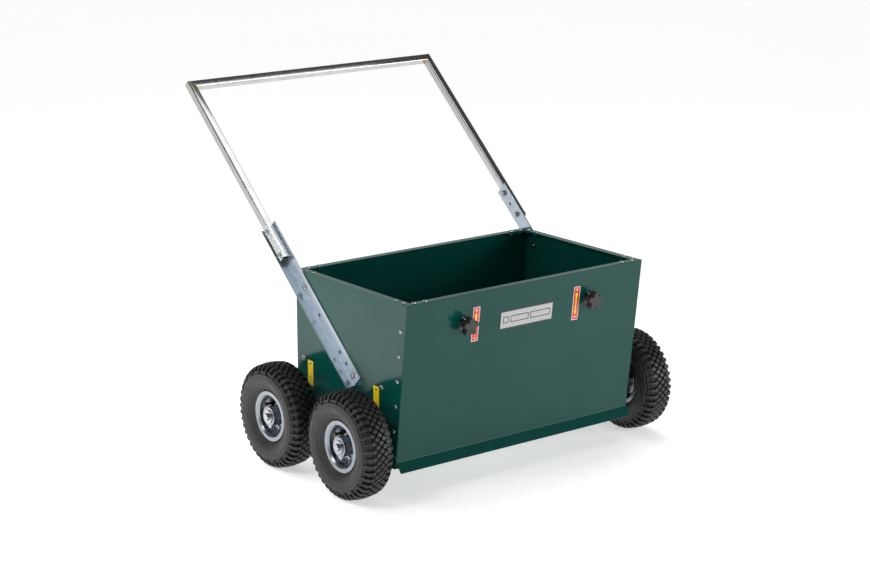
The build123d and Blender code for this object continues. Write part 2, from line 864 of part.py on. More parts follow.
def star_knob(x):
    """Moulded star knob with a boss towards the washer and a blind bore for the stud."""
    head_height = knob_height - knob_boss_height
    star = Circle(knob_lobe_pitch)
    star += PolarLocations(knob_lobe_pitch, knob_lobes, start_angle=90) * Circle(knob_lobe_radius)
    head = extrude(star, amount=head_height)
    head = fillet(head.edges().group_by(Axis.Z)[-1], knob_edge)
    boss = Cone(knob_boss_radius, knob_boss_radius + knob_boss_taper, knob_boss_height, align=upwards)
    knob = boss + Pos(0, 0, knob_boss_height) * head
    seat = 2 * knob_gap + knob_washer_thickness
    bore = Cylinder(stud_radius + running_gap, stud_reach - seat + knob_bore_end, align=upwards)
    return on_knob(x, seat) * (knob - bore)


# ------------------------------------------------------------------ handle
def angle_arm():
    """Left angle iron: flat leg on the side panel, standing leg along its lower edge."""
    outline = [
        (0, 0),
        (arm_out, 0),
        (arm_out, arm_thickness),
        (arm_thickness, arm_thickness),
        (arm_thickness, arm_flat),
        (0, arm_flat),
    ]
    arm = arm_plane * extrude(make_face(Polyline(*outline, close=True)), amount=arm_length)
    for along in arm_bolts + arm_spare_holes + tube_bolts + (tube_spare_hole,):
        arm -= arm_point(arm_hole_line, along) * drill(m8_hole, arm_thickness)
    standing = arm_plane * Pos((arm_thickness + arm_out) / 2, 0, arm_out_hole)
    return arm - standing * Rot(90, 0, 0) * drill(m8_hole, arm_thickness)


def square_tube(length):
    outer = RectangleRounded(tube_size, tube_size, tube_corner)
    inside = tube_size - 2 * tube_thickness
    return extrude(outer - RectangleRounded(inside, inside, tube_corner - tube_thickness), amount=length)


def mitre_cutter():
    """Everything above the 45 degree weld plane, drawn in the arm's own plane."""
    far = 2 * hopper_width
    low = (arm_thickness - far, tube_end - tube_size - far)
    high = (arm_thickness + tube_size + far, tube_end + far)
    face = make_face(Polyline(low, high, (low[0], high[1]), close=True))
    return Pos(0, far, 0) * (Plane.XZ * extrude(face, amount=2 * far))


def handle_leg():
    middle = tube_size / 2
    tube = Pos(arm_thickness + middle, tube_offset + middle, tube_start) * square_tube(tube_end - tube_start)
    leg = arm_plane * (tube - mitre_cutter())
    for along in tube_bolts:
        leg -= arm_point(arm_hole_line, along) * drill(m8_hole, arm_thickness + tube_size)
    return leg


def handle_grip():
    """Cross tube, mitred to both legs."""
    length = 2 * (half_width + arm_thickness + tube_size)
    middle = tube_size / 2
    bar = along_x(square_tube(length))
    start = arm_plane * Pos(arm_thickness + tube_size, tube_offset + middle, tube_end - middle)
    bar = Plane(origin=start.position, x_dir=(1, 0, 0), z_dir=arm_plane.z_dir) * bar
    keep = arm_plane * mitre_cutter()
    return bar & keep & mirrored(keep)


def arm_bolt_sets():
    sets = []
    for along in arm_bolts:
        here = arm_point(arm_hole_line, along, arm_thickness)
        for shape in place(here, bolt_and_nut(m8, arm_thickness + sheet)):
            sets.extend(both(shape))
    return sets


def handle_bolt_sets():
    sets = []
    for along in tube_bolts:
        here = arm_point(arm_hole_line, along, arm_thickness + tube_size)
        for shape in place(here, bolt_and_nut(m8, arm_thickness + tube_size)):
            sets.extend(both(shape))
    return sets


# ------------------------------------------------------------------ labels and plate
def front_sheet(size, x, drop):
    width, height, thickness = size
    return front_plane * Pos(x, -drop, thickness / 2) * Box(width, height, thickness)


def yellow_labels():
    width, height, thickness = yellow_label
    foot = axle_z + flange_bolt_reach + flange_ear_radius + yellow_label_rise
    labels = []
    for y in (front_yellow_label_y, rear_y - rear_yellow_label_ahead):
        here = outward_left(y, foot + height / 2) * Pos(0, 0, thickness / 2)
        labels.extend(both(here * Box(width, height, thickness)))
    return labels


# ------------------------------------------------------------------ the pieces
add("front_panel", front_panel())
add("rear_panel", rear_panel())
left_panel = side_panel()
add("side_panel_left", left_panel)
add("side_panel_right", mirrored(left_panel))
add("hopper_floor", hopper_floor())
gussets = both(corner_gusset(front_y, 1)) + both(corner_gusset(rear_y, -1))
add("corner_gussets", *[drill_rim(gusset) for gusset in gussets])
add("rim_screws", *rim_screws())
add("side_bolts", *side_bolts())
ties, tie_bolts = cross_ties()
add("cross_ties", *ties)
add("cross_tie_bolts", *tie_bolts)
add("front_axle_flanges", *both(front_flange()))
add("front_axle_bearings", *both(front_bearing()))
add("rear_axle_flanges", *both(rear_flange()))
add("axle_flange_bolts", *flange_bolts(0.0), *flange_bolts(rear_axle_y))
add("rear_axle", Pos(0, rear_axle_y, axle_z) * axle())
add("rear_axle_end_bolts", *[each for shape in end_bolt(rear_axle_y) for each in both(shape)])
add("rear_axle_spacers", *both(spacer(rear_axle_y)))

arm = angle_arm()
add("arm_left", arm)
add("arm_right", mirrored(arm))
add("arm_bolts", *arm_bolt_sets())
leg = handle_leg()
add("handle_leg_left", leg)
add("handle_leg_right", mirrored(leg))
add("handle_grip", handle_grip())
add("handle_bolts", *handle_bolt_sets())

add("nameplate", front_sheet(plate_size, 0.0, plate_drop))
add("gate_scale_labels", *both(front_sheet(red_label, -red_label_x, red_label_drop)))
add("side_labels", *yellow_labels())

add("gate_plate", gate_plate(), gate_strap(-knob_x), gate_strap(knob_x))
add("gate_studs", gate_stud(-knob_x), gate_stud(knob_x))
add("knob_washers", knob_washer(-knob_x), knob_washer(knob_x))
add("knob_left", star_knob(-knob_x))
add("knob_right", star_knob(knob_x))

add("drive_axle", drive_axle())
add("drive_axle_keys", *both(axle_key()))
add("drive_axle_end_bolts", *[each for shape in end_bolt(0.0) for each in both(shape)])
add("drive_axle_spacers", *both(spacer(0.0)))
add("rotor_tube", rotor_tube())
add("rotor_discs", *rotor_discs())
add("rotor_blades", *rotor_blades())

casing = tyre()
air_tube = inner_tube()
rims = rim_pair()
disc_bolts = rim_bolts()
stem = valve()
for name, put in (("left", as_drawn), ("right", mirrored)):
    add(f"front_tyre_{name}", put(at_wheel(casing, 0.0)))
    add(f"rear_tyre_{name}", put(at_wheel(casing, rear_axle_y)))
    add(f"rear_tube_{name}", put(at_wheel(air_tube, rear_axle_y)))
    add(f"rear_rim_{name}", *[put(at_wheel(half, rear_axle_y)) for half in rims])
    add(f"rear_rim_bolts_{name}", *[put(at_wheel(bolt, rear_axle_y)) for bolt in disc_bolts])
    add(f"rear_hub_{name}", put(at_wheel(bearing_hub(), rear_axle_y)))
    add(f"rear_bearings_{name}", *[put(at_wheel(race, rear_axle_y)) for race in wheel_bearings()])
    add(f"rear_valve_{name}", put(at_wheel(stem, rear_axle_y)))
add("front_tubes", *both(at_wheel(air_tube, 0.0)))
add("front_rims", *[each for half in rims for each in both(at_wheel(half, 0.0))])
add("front_rim_bolts", *[each for bolt in disc_bolts for each in both(at_wheel(bolt, 0.0))])
add("front_hubs", *both(at_wheel(keyed_hub(), 0.0)))
add("front_valves", *both(at_wheel(stem, 0.0)))

write_parts()
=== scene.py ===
import json
import math

import bmesh
import bpy
from mathutils import Matrix, Vector
from mathutils.kdtree import KDTree


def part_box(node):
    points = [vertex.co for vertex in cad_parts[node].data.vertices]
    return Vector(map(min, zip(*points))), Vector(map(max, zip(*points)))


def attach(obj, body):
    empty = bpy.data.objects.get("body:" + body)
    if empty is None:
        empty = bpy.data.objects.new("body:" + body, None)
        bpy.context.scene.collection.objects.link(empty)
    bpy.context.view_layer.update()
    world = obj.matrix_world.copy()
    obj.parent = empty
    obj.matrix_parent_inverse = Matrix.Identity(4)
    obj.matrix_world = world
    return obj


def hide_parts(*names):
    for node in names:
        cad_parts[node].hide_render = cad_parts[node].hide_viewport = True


# Walk-behind drop spreader: green sheet-steel hopper, zinc-plated handle, pneumatic wheels.
# Metres throughout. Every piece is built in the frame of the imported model.

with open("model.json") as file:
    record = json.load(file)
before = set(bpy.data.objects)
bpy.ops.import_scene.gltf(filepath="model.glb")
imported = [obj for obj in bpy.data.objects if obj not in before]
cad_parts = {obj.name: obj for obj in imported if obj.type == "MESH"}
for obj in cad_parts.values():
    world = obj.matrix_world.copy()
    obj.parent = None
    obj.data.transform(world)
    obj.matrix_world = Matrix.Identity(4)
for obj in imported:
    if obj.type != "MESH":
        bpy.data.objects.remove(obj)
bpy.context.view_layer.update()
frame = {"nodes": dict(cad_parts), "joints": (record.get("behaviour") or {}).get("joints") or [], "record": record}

mm = 0.001

# ------------------------------------------------------------------ sizes
# Tyres: the tread is drawn flat, then wrapped over the outline of the casing
tread_depth = 6.5 * mm
tread_sizes = {
    "Depth": tread_depth,
    "Blocks Around": 44,
    "Columns": 5,
    "Column Pitch": 10.0 * mm,
    "Block Width": 16.2 * mm,
    "Block Length": 14.8 * mm,
    "Block Top Share": 0.86,            # width at the top, against the foot
    "Lug Start": 26.0 * mm,
    "Long Lug": 27.0 * mm,
    "Short Lug": 18.0 * mm,
    "Lug Width": 11.5 * mm,
    "Lug Tip Share": 0.5,               # width at the outer end, against the inner end
}
lug_top_share = 0.78                    # width at the top, against the foot
lug_points = 9                          # along a lug, so that it can follow the shoulder
crown_flat_share = 0.47
crown_fall = 2.0 * mm
round_shoulder = (11.0 * mm, 5.0 * mm)
shoulder_inset = 5.0 * mm
shoulder_drop = 13.0 * mm
belly_share = 0.58
bead_drop = 11.5 * mm
bead_inset = 2.7 * mm
bead_chamfer = 3.0 * mm
casing_wall = 7.0 * mm
shoulder_wall = 4.0 * mm
crown_belt = 3.0 * mm                   # on top of the casing's wall
tread_fade = (15.0 * mm, 27.0 * mm)     # below the crown: full groove depth, then none
# Rings on the sidewall: (distance below the crown, height)
rib_height = 0.8 * mm
sidewall_ribs = ((58.0 * mm, 0.6 * mm), (50.0 * mm, 0.7 * mm), (33.0 * mm, 0.7 * mm))
rib_half_width = 1.0 * mm
casing_segments = 160
crown_steps, rounding_steps, wall_steps = 10, 10, 40
lining_steps, ceiling_steps = 10, 6
skin_step = 0.6 * mm
probe_step = 0.4 * mm

# Cleaning and shading of meshes
weld_gap = 1e-6
flat_angle = math.radians(0.3)
soft_edge_angle = math.radians(28.0)    # sharper edges of a dressed CAD node are softened
shade_angle = math.radians(30.0)        # edges sharper than this are drawn hard
tread_shade_angle = math.radians(24.0)
fold_width = 8.0 * mm                   # a fold lies between two faces wider than this
bevel_segments = 3

# Printed films
corner_steps = 4
film_share = 0.6                        # of the CAD label's thickness; the print stands on it
print_height = 0.04 * mm
crossing_lift = 0.2                     # of the print's height, to part the two bars of a plus
label_corner = 1.6 * mm
label_border = 1.3 * mm
sign_size, sign_bar, sign_inset = 7.5 * mm, 1.7 * mm, 8.0 * mm
arrow_inset = 14.5 * mm
arrow_head, arrow_half, arrow_neck = 9.0 * mm, 4.8 * mm, 2.0 * mm
mark_inset, mark_share, mark_height = 8.0 * mm, 0.34, 4.0 * mm
bars, bar_start, bar_pitch = 3, 40.0 * mm, 5.0 * mm
bar_share, bar_height = 0.5, 1.2 * mm
plate_corner = 2.0 * mm
plate_line = 2.2 * mm
plate_field_height = 17.0 * mm
plate_fields = (                        # (centre, width)
    (-64.0 * mm, 17.0 * mm),
    (-22.0 * mm, 56.0 * mm),
    (42.0 * mm, 62.0 * mm),
)

# Fasteners: (head radius, head height, shank radius, socket flats, nut flats)
m6_sizes = (5.4 * mm, 3.3 * mm, 3.0 * mm, 3.7 * mm, 10.0 * mm)
m8_sizes = (7.0 * mm, 4.4 * mm, 4.0 * mm, 5.0 * mm, 13.0 * mm)
turned_segments = 48
point_share = 0.8                       # the end of a shank, against the shank
head_foot_share, head_rim_share, head_top_share = 0.97, 0.12, 0.42
dome_steps = 6
socket_lip_share, socket_floor_share = 0.98, 0.4
nut_chamfer = 0.06                      # of the width across the flats

# Handle: the two welds lie this far in from the ends of the grip
weld_inset = 20.0 * mm

slot_of = {row["node"]: row["material_slot"] for row in frame["record"]["subparts"]}
body_of_node = {}
for body, members in frame["record"]["behaviour"]["bodies"].items():
    for member in members:
        body_of_node[member] = body
joints = {joint["name"]: joint for joint in frame["joints"]}
slope_up = Vector(joints["gate_slide"]["axis"]).normalized()
front_outward = Vector(joints["knob_left_turn"]["axis"]).normalized()


# ------------------------------------------------------------------ node trees
class Nodes:
    """A node tree; inputs are plain values or other nodes' sockets."""

    def node(self, kind, inputs=None, **settings):
        made = self.tree.nodes.new(kind)
        for label, value in settings.items():
            setattr(made, label, value)
        for label, value in (inputs or {}).items():
            self.feed(value, made.inputs[label])
        return made

    def feed(self, value, socket):
        if isinstance(value, bpy.types.NodeSocket):
            self.tree.links.new(value, socket)
        else:
            socket.default_value = value

    def maths(self, operation, *values):
        return self.node("ShaderNodeMath", dict(enumerate(values)), operation=operation).outputs[0]


# ------------------------------------------------------------------ finishes
class Finish(Nodes):
    """A procedural material: a Principled shader fed by patterns on Object coordinates."""

    def __init__(self, name, **sockets):
        self.material = bpy.data.materials.new(name)
        self.material.use_nodes = True
        self.tree = self.material.node_tree
        self.shader = self.tree.nodes["Principled BSDF"]
        for label, value in sockets.items():
            self.shader.inputs[label].default_value = value
        self.place = self.tree.nodes.new("ShaderNodeTexCoord").outputs["Object"]
        self.relief = None

    def noise(self, size, detail=3.0, stretch=(1.0, 1.0, 1.0)):
        """Soft cloudy pattern whose blotches are about size across, longer where stretch is small."""
        place = self.node("ShaderNodeMapping", {"Vector": self.place, "Scale": stretch}).outputs["Vector"]
        inputs = {"Vector": place, "Scale": 1.0 / size, "Detail": detail}
        return self.node("ShaderNodeTexNoise", inputs).outputs["Fac"]

    def number(self, pattern, low, high, start=0.3, stop=0.7):
        """A pattern turned into a number between low and high."""
        inputs = dict(enumerate((pattern, start, stop, low, high)))
        return self.node("ShaderNodeMapRange", inputs).outputs[0]

    def shades(self, pattern, *stops):
        """A pattern turned into colour; stops are (place, colour)."""
        ramp = self.node("ShaderNodeValToRGB", {0: pattern})
        elements = ramp.color_ramp.elements
        while len(elements) < len(stops):
            elements.new(0.5)
        for element, (place, colour) in zip(elements, stops):
            element.position = place
            element.color = (*colour, 1.0)
        return ramp.outputs["Color"]

    def between(self, pattern, dark, light, start=0.3, stop=0.7):
        """A pattern turned into colour, from dark to light."""
        return self.shades(pattern, (start, dark), (stop, light))

    def mixed(self, share, first, second):
        """Two colours mixed; share is how much of the second."""
        inputs = {"Factor": share, 6: first, 7: second}     # 6, 7 and output 2 are the colours
        return self.node("ShaderNodeMix", inputs, data_type="RGBA").outputs[2]

    def distance_to(self, point):
        """How far a place is from a point."""
        gap = self.node("ShaderNodeVectorMath", {0: self.place, 1: point}, operation="DISTANCE")
        return gap.outputs["Value"]

    def colour(self, source):
        self.feed(source, self.shader.inputs["Base Color"])

    def roughness(self, source):
        self.feed(source, self.shader.inputs["Roughness"])

    def bump(self, pattern, distance, strength):
        """Relief from a pattern, laid over any given before."""
        inputs = {"Height": pattern, "Distance": distance, "Strength": strength}
        if self.relief is not None:
            inputs["Normal"] = self.relief
        self.relief = self.node("ShaderNodeBump", inputs).outputs["Normal"]
        self.feed(self.relief, self.shader.inputs["Normal"])


def green_powder_coat():
    """Dark moss-green gloss powder coat with a faint orange peel."""
    finish = Finish("green_powder_coat", **{"Specular IOR Level": 0.25})
    drift = finish.noise(0.18, detail=2.0)
    finish.colour(finish.between(drift, (0.0016, 0.0500, 0.0400), (0.0022, 0.0580, 0.0460)))
    finish.roughness(finish.number(finish.noise(0.03), 0.13, 0.18))
    finish.bump(finish.noise(3.2 * mm, detail=1.0), distance=0.015 * mm, strength=0.2)
    return finish.material


def zinc_plate(name, dark, light, rough, mottle, metal=1.0):
    """Zinc plate with soft cloudy patches and fine rolling marks; metal is under 1 where it is dull."""
    finish = Finish(name, Metallic=metal)
    clouds = finish.noise(mottle, detail=2.5)
    marks = finish.noise(1.2 * mm, detail=3.0, stretch=(0.08, 1.0, 1.0))
    finish.colour(finish.between(clouds, dark, light, start=0.32, stop=0.68))
    finish.roughness(finish.number(clouds, *rough))
    finish.bump(marks, distance=0.008 * mm, strength=0.2)
    finish.bump(clouds, distance=0.01 * mm, strength=0.2)
    return finish.material


def handle_tube_steel(corners):
    """Bright plated tube with straw and blue heat tint round the two welded corners."""
    finish = Finish("handle_tube_steel", Metallic=1.0)
    clouds = finish.noise(30.0 * mm, detail=4.0)
    bright = finish.between(clouds, (0.44, 0.45, 0.46), (0.53, 0.54, 0.54))
    reach = finish.maths("MINIMUM", *[finish.distance_to(corner) for corner in corners])
    unevenness = 30.0 * mm
    ragged = finish.maths("MULTIPLY_ADD", finish.noise(9.0 * mm), unevenness, reach)
    tint = finish.shades(
        finish.number(ragged, 0.0, 1.0, start=10.0 * mm, stop=50.0 * mm),
        (0.0, (0.32, 0.29, 0.30)),
        (0.28, (0.46, 0.38, 0.28)),
        (0.6, (0.54, 0.49, 0.38)),
        (1.0, (0.54, 0.53, 0.51)),
    )
    near = finish.number(ragged, 0.8, 0.0, start=20.0 * mm, stop=55.0 * mm)
    finish.colour(finish.mixed(near, bright, tint))
    scratches = finish.noise(0.7 * mm, detail=4.0, stretch=(1.0, 0.06, 0.06))
    finish.roughness(finish.number(scratches, 0.07, 0.15))
    finish.bump(scratches, distance=0.006 * mm, strength=0.2)
    return finish.material


def grained(name, patch, dark, light, grain, rough, relief, strength, detail, rings=False, **sockets):
    """Two soft shades under an even grain, or under fine rings round the machine's X axis."""
    finish = Finish(name, **sockets)
    fine = finish.noise(grain, detail=detail, stretch=(1.0, 0.02, 0.02) if rings else (1.0, 1.0, 1.0))
    finish.colour(finish.between(finish.noise(patch), dark, light))
    finish.roughness(finish.number(fine, *rough))
    finish.bump(fine, distance=relief, strength=strength)
    return finish.material


def tyre_rubber():
    """Moulded tyre rubber: dry and greyish where it is proud, and black in the grooves as painted shade set by
    depth.
    """
    finish = Finish("tyre_rubber")
    bloom = finish.noise(16.0 * mm, detail=6.0)
    grain = finish.noise(0.9 * mm, detail=2.0)
    proud = finish.between(bloom, (0.009, 0.0087, 0.0085), (0.022, 0.021, 0.0205), stop=0.72)
    sunk = finish.node("ShaderNodeAttribute", attribute_name="groove_shade_depth").outputs["Fac"]
    # painted shade: the rubber is mixed towards black the deeper a point lies in the tread's grooves
    depth = finish.number(sunk, 0.0, 1.0, start=0.12, stop=0.7)
    finish.colour(finish.mixed(depth, proud, (0.003, 0.003, 0.003, 1.0)))
    finish.roughness(finish.number(bloom, 0.42, 0.62))
    finish.bump(grain, distance=0.05 * mm, strength=0.35)
    finish.bump(bloom, distance=0.15 * mm, strength=0.25)
    return finish.material


def valve_brass():
    """Tarnished brass of the tyre valves, made very dark as painted shade for valves that sit in shade."""
    finish = Finish("valve_brass", Metallic=1.0)
    tarnish = finish.noise(4.0 * mm, detail=4.0)
    thread = finish.noise(0.9 * mm, stretch=(1.0, 0.1, 0.1))
    # both shades are very dark brass: tarnish patches, darkened further as painted shade for a valve lying in
    # shade
    finish.colour(finish.between(tarnish, (0.05, 0.036, 0.020), (0.12, 0.085, 0.045)))
    finish.roughness(finish.number(tarnish, 0.24, 0.42))
    finish.bump(thread, distance=0.03 * mm, strength=0.4)
    return finish.material


def brushed_plate():
    """Aluminium plate brushed along its length."""
    finish = Finish("brushed_plate", Metallic=1.0)
    brushing = finish.noise(0.5 * mm, detail=5.0, stretch=(0.015, 1.0, 1.0))
    finish.colour(finish.between(brushing, (0.30, 0.30, 0.30), (0.46, 0.46, 0.455)))
    finish.roughness(finish.number(brushing, 0.30, 0.48))
    finish.bump(brushing, distance=0.01 * mm, strength=0.4)
    return finish.material


def printed_film(name, dark, light):
    """Vinyl film with a satin overlaminate."""
    finish = Finish(name, **{"Coat Weight": 0.3, "Coat Roughness": 0.2})
    finish.colour(finish.between(finish.noise(6.0 * mm), dark, light))
    finish.roughness(finish.number(finish.noise(1.5 * mm), 0.34, 0.46))
    finish.bump(finish.noise(1.2 * mm), distance=0.01 * mm, strength=0.25)
    return finish.material


def studio_floor():
    """White paper with a faint glow of its own."""
    glow = {"Emission Color": (1.0, 1.0, 1.0, 1.0), "Emission Strength": 0.485}
    finish = Finish("studio_floor", Roughness=0.6, **glow)
    finish.colour(finish.between(finish.noise(1.5), (0.845, 0.845, 0.845), (0.860, 0.860, 0.860)))
    return finish.material


# ------------------------------------------------------------------ mesh helpers
def solid_points(node):
    """The separate solids of a CAD node, each as a list of its corners."""
    work = bmesh.new()
    work.from_mesh(frame["nodes"][node].data)
    bmesh.ops.remove_doubles(work, verts=work.verts, dist=weld_gap)
    left = set(work.verts)
    solids = []
    for first in work.verts:
        if first not in left:
            continue
        left.remove(first)
        front = [first]
        found = []
        while front:
            vert = front.pop()
            found.append(vert.co.copy())
            for edge in vert.link_edges:
                other = edge.other_vert(vert)
                if other in left:
                    left.remove(other)
                    front.append(other)
        solids.append(found)
    work.free()
    return solids


def middle(points):
    """Middle of the box round some points."""
    lows = [min(p[axis] for p in points) for axis in range(3)]
    highs = [max(p[axis] for p in points) for axis in range(3)]
    return (Vector(lows) + Vector(highs)) / 2


def finish_mesh(work, name, material, sharp=shade_angle):
    """The work as a smooth-shaded mesh with hard sharp edges."""
    mesh = bpy.data.meshes.new(name)
    work.to_mesh(mesh)
    work.free()
    mesh.polygons.foreach_set("use_smooth", [True] * len(mesh.polygons))
    mesh.set_sharp_from_angle(angle=sharp)
    if material is not None:
        mesh.materials.clear()
        mesh.materials.append(material)
    return mesh


def show(name, data):
    """A new object in the scene, from its data."""
    piece = bpy.data.objects.new(name, data)
    bpy.context.scene.collection.objects.link(piece)
    return piece


def stand_for(piece, node):
    """The piece takes a CAD node's place, body and material slot."""
    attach(piece, body_of_node[node])
    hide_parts(node)
    return piece


def dressed(node, material, edge=0.0, shortest=0.0, folds=1.0):
    """A merged, smooth-shaded copy of a CAD node with its sharp edges softened, and its folds by more."""
    work = bmesh.new()
    work.from_mesh(frame["nodes"][node].data)
    bmesh.ops.remove_doubles(work, verts=work.verts, dist=weld_gap)
    bmesh.ops.dissolve_limit(work, angle_limit=flat_angle, verts=work.verts, edges=work.edges)
    for layer in list(work.loops.layers.uv):
        work.loops.layers.uv.remove(layer)
    weight = work.edges.layers.float.new("bevel_weight_edge")
    for each in work.edges:
        length = each.calc_length()
        sharp = len(each.link_faces) == 2 and each.calc_face_angle() > soft_edge_angle
        if sharp and length > shortest:
            is_fold = min(face.calc_area() for face in each.link_faces) > fold_width * length
            each[weight] = 1.0 if is_fold else 1.0 / folds
    mesh = finish_mesh(work, node, material)
    for name in [a.name for a in mesh.attributes if a.name == "custom_normal"]:
        mesh.attributes.remove(mesh.attributes[name])
    piece = show(node + "_dressed", mesh)
    if edge > 0.0:
        bevel = piece.modifiers.new("soft_edges", "BEVEL")
        bevel.limit_method = "WEIGHT"
        bevel.width = edge * folds
        bevel.segments = bevel_segments
        bevel.use_clamp_overlap = False
        bevel.harden_normals = True
    return stand_for(piece, node)


def arc(first, through, last, count):
    """Points on the circle through three (across, radius) points, from the first to the last."""
    (ax, ay), (bx, by), (cx, cy) = first, through, last
    d = 2 * (ax * (by - cy) + bx * (cy - ay) + cx * (ay - by))
    a2, b2, c2 = ax * ax + ay * ay, bx * bx + by * by, cx * cx + cy * cy
    ux = (a2 * (by - cy) + b2 * (cy - ay) + c2 * (ay - by)) / d
    uy = (a2 * (cx - bx) + b2 * (ax - cx) + c2 * (bx - ax)) / d
    radius = math.hypot(ax - ux, ay - uy)
    start = math.atan2(ay - uy, ax - ux)
    turn_b = (math.atan2(by - uy, bx - ux) - start) % math.tau
    turn_c = (math.atan2(cy - uy, cx - ux) - start) % math.tau
    if turn_b > turn_c:
        turn_c -= math.tau
    turns = [start + turn_c * i / count for i in range(count + 1)]
    return [(ux + radius * math.cos(turn), uy + radius * math.sin(turn)) for turn in turns]


def revolved(outline, segments):
    """Closed solid of revolution round X from a closed outline of (across, radius)."""
    work = bmesh.new()
    rings = []
    for i in range(segments):
        angle = math.tau * i / segments
        sine, cosine = math.sin(angle), math.cos(angle)
        rings.append([work.verts.new((x, r * sine, r * cosine)) for x, r in outline])
    for i, ring in enumerate(rings):
        after = rings[(i + 1) % segments]
        for j in range(len(outline)):
            k = (j + 1) % len(outline)
            work.faces.new((ring[j], ring[k], after[k], after[j]))
    bmesh.ops.recalc_face_normals(work, faces=work.faces)
    return work


def hexed(flats, angle):
    """Radius of a hexagon of the given width across its flats, in one direction."""
    sixth = math.tau / 6
    return flats / 2 / math.cos((angle % sixth) - sixth / 2)


def turned_rings(rings, closed=False):
    """Mesh round Z from rings of (height, radius, flats); flats cuts the ring to a hexagon."""
    work = bmesh.new()
    loops = []
    for height, radius, flats in rings:
        loop = []
        for i in range(turned_segments):
            angle = math.tau * i / turned_segments
            reach = radius if flats is None else min(radius, hexed(flats, angle))
            loop.append(work.verts.new((reach * math.cos(angle), reach * math.sin(angle), height)))
        loops.append(loop)
    pairs = list(zip(loops, loops[1:]))
    if closed:
        pairs.append((loops[-1], loops[0]))
    else:
        work.faces.new(loops[0])
        work.faces.new(loops[-1])
    for low, high in pairs:
        for i in range(turned_segments):
            k = (i + 1) % turned_segments
            work.faces.new((low[i], low[k], high[k], high[i]))
    bmesh.ops.recalc_face_normals(work, faces=work.faces)
    return work


# ------------------------------------------------------------------ patterns of repeated pieces
class Pattern(Nodes):
    """A Geometry Nodes tree with named inputs, built node by node."""

    def __init__(self, name, **inputs):
        self.tree = bpy.data.node_groups.new(name, "GeometryNodeTree")
        kinds = {int: "NodeSocketInt", float: "NodeSocketFloat"}
        sockets = self.tree.interface
        sockets.new_socket(name="Geometry", in_out="INPUT", socket_type="NodeSocketGeometry")
        for label, value in inputs.items():
            kind = kinds.get(type(value), "NodeSocketMaterial")
            if isinstance(value, bpy.types.Object):
                kind = "NodeSocketObject"
            sockets.new_socket(name=label, in_out="INPUT", socket_type=kind)
        sockets.new_socket(name="Geometry", in_out="OUTPUT", socket_type="NodeSocketGeometry")
        self.values = inputs
        self.given = self.tree.nodes.new("NodeGroupInput").outputs

    def vector(self, x=0.0, y=0.0, z=0.0):
        return self.node("ShaderNodeCombineXYZ", {"X": x, "Y": y, "Z": z}).outputs[0]

    def row(self, count):
        """A row of points to be placed by their index."""
        return self.node("GeometryNodeMeshLine", {"Count": count}).outputs[0]

    def placed(self, geometry, position):
        return self.node("GeometryNodeSetPosition", {"Geometry": geometry, "Position": position}).outputs[0]

    def copies(self, points, piece, **inputs):
        values = {"Points": points, "Instance": piece, **inputs}
        return self.node("GeometryNodeInstanceOnPoints", values).outputs[0]

    def position(self):
        """A point's place, as X, Y and Z sockets."""
        return self.parts(self.node("GeometryNodeInputPosition").outputs[0])

    def parts(self, vector):
        return self.node("ShaderNodeSeparateXYZ", {"Vector": vector}).outputs

    def joined(self, *geometries):
        made = self.node("GeometryNodeJoinGeometry")
        for geometry in geometries:
            self.tree.links.new(geometry, made.inputs[0])
        return made.outputs[0]

    def realized(self, geometry):
        return self.node("GeometryNodeRealizeInstances", {"Geometry": geometry}).outputs[0]

    def end(self, geometry):
        """Close the tree: the given plain mesh gets the material."""
        inputs = {"Geometry": geometry, "Material": self.given["Material"]}
        finished = self.node("GeometryNodeSetMaterial", inputs).outputs[0]
        self.tree.links.new(finished, self.tree.nodes.new("NodeGroupOutput").inputs[0])

    def mesh(self, base, name):
        """Run the tree on a mesh and return the result as a plain mesh."""
        carrier = show(name + "_pattern", base)
        modifier = carrier.modifiers.new(name, "NODES")
        modifier.node_group = self.tree
        for item in self.tree.interface.items_tree:
            if item.in_out == "INPUT" and item.name in self.values:
                modifier[item.identifier] = self.values[item.name]
        graph = bpy.context.evaluated_depsgraph_get()
        made = bpy.data.meshes.new_from_object(carrier.evaluated_get(graph), depsgraph=graph)
        carrier.modifiers.remove(modifier)
        bpy.data.objects.remove(carrier)
        made.name = name
        return made


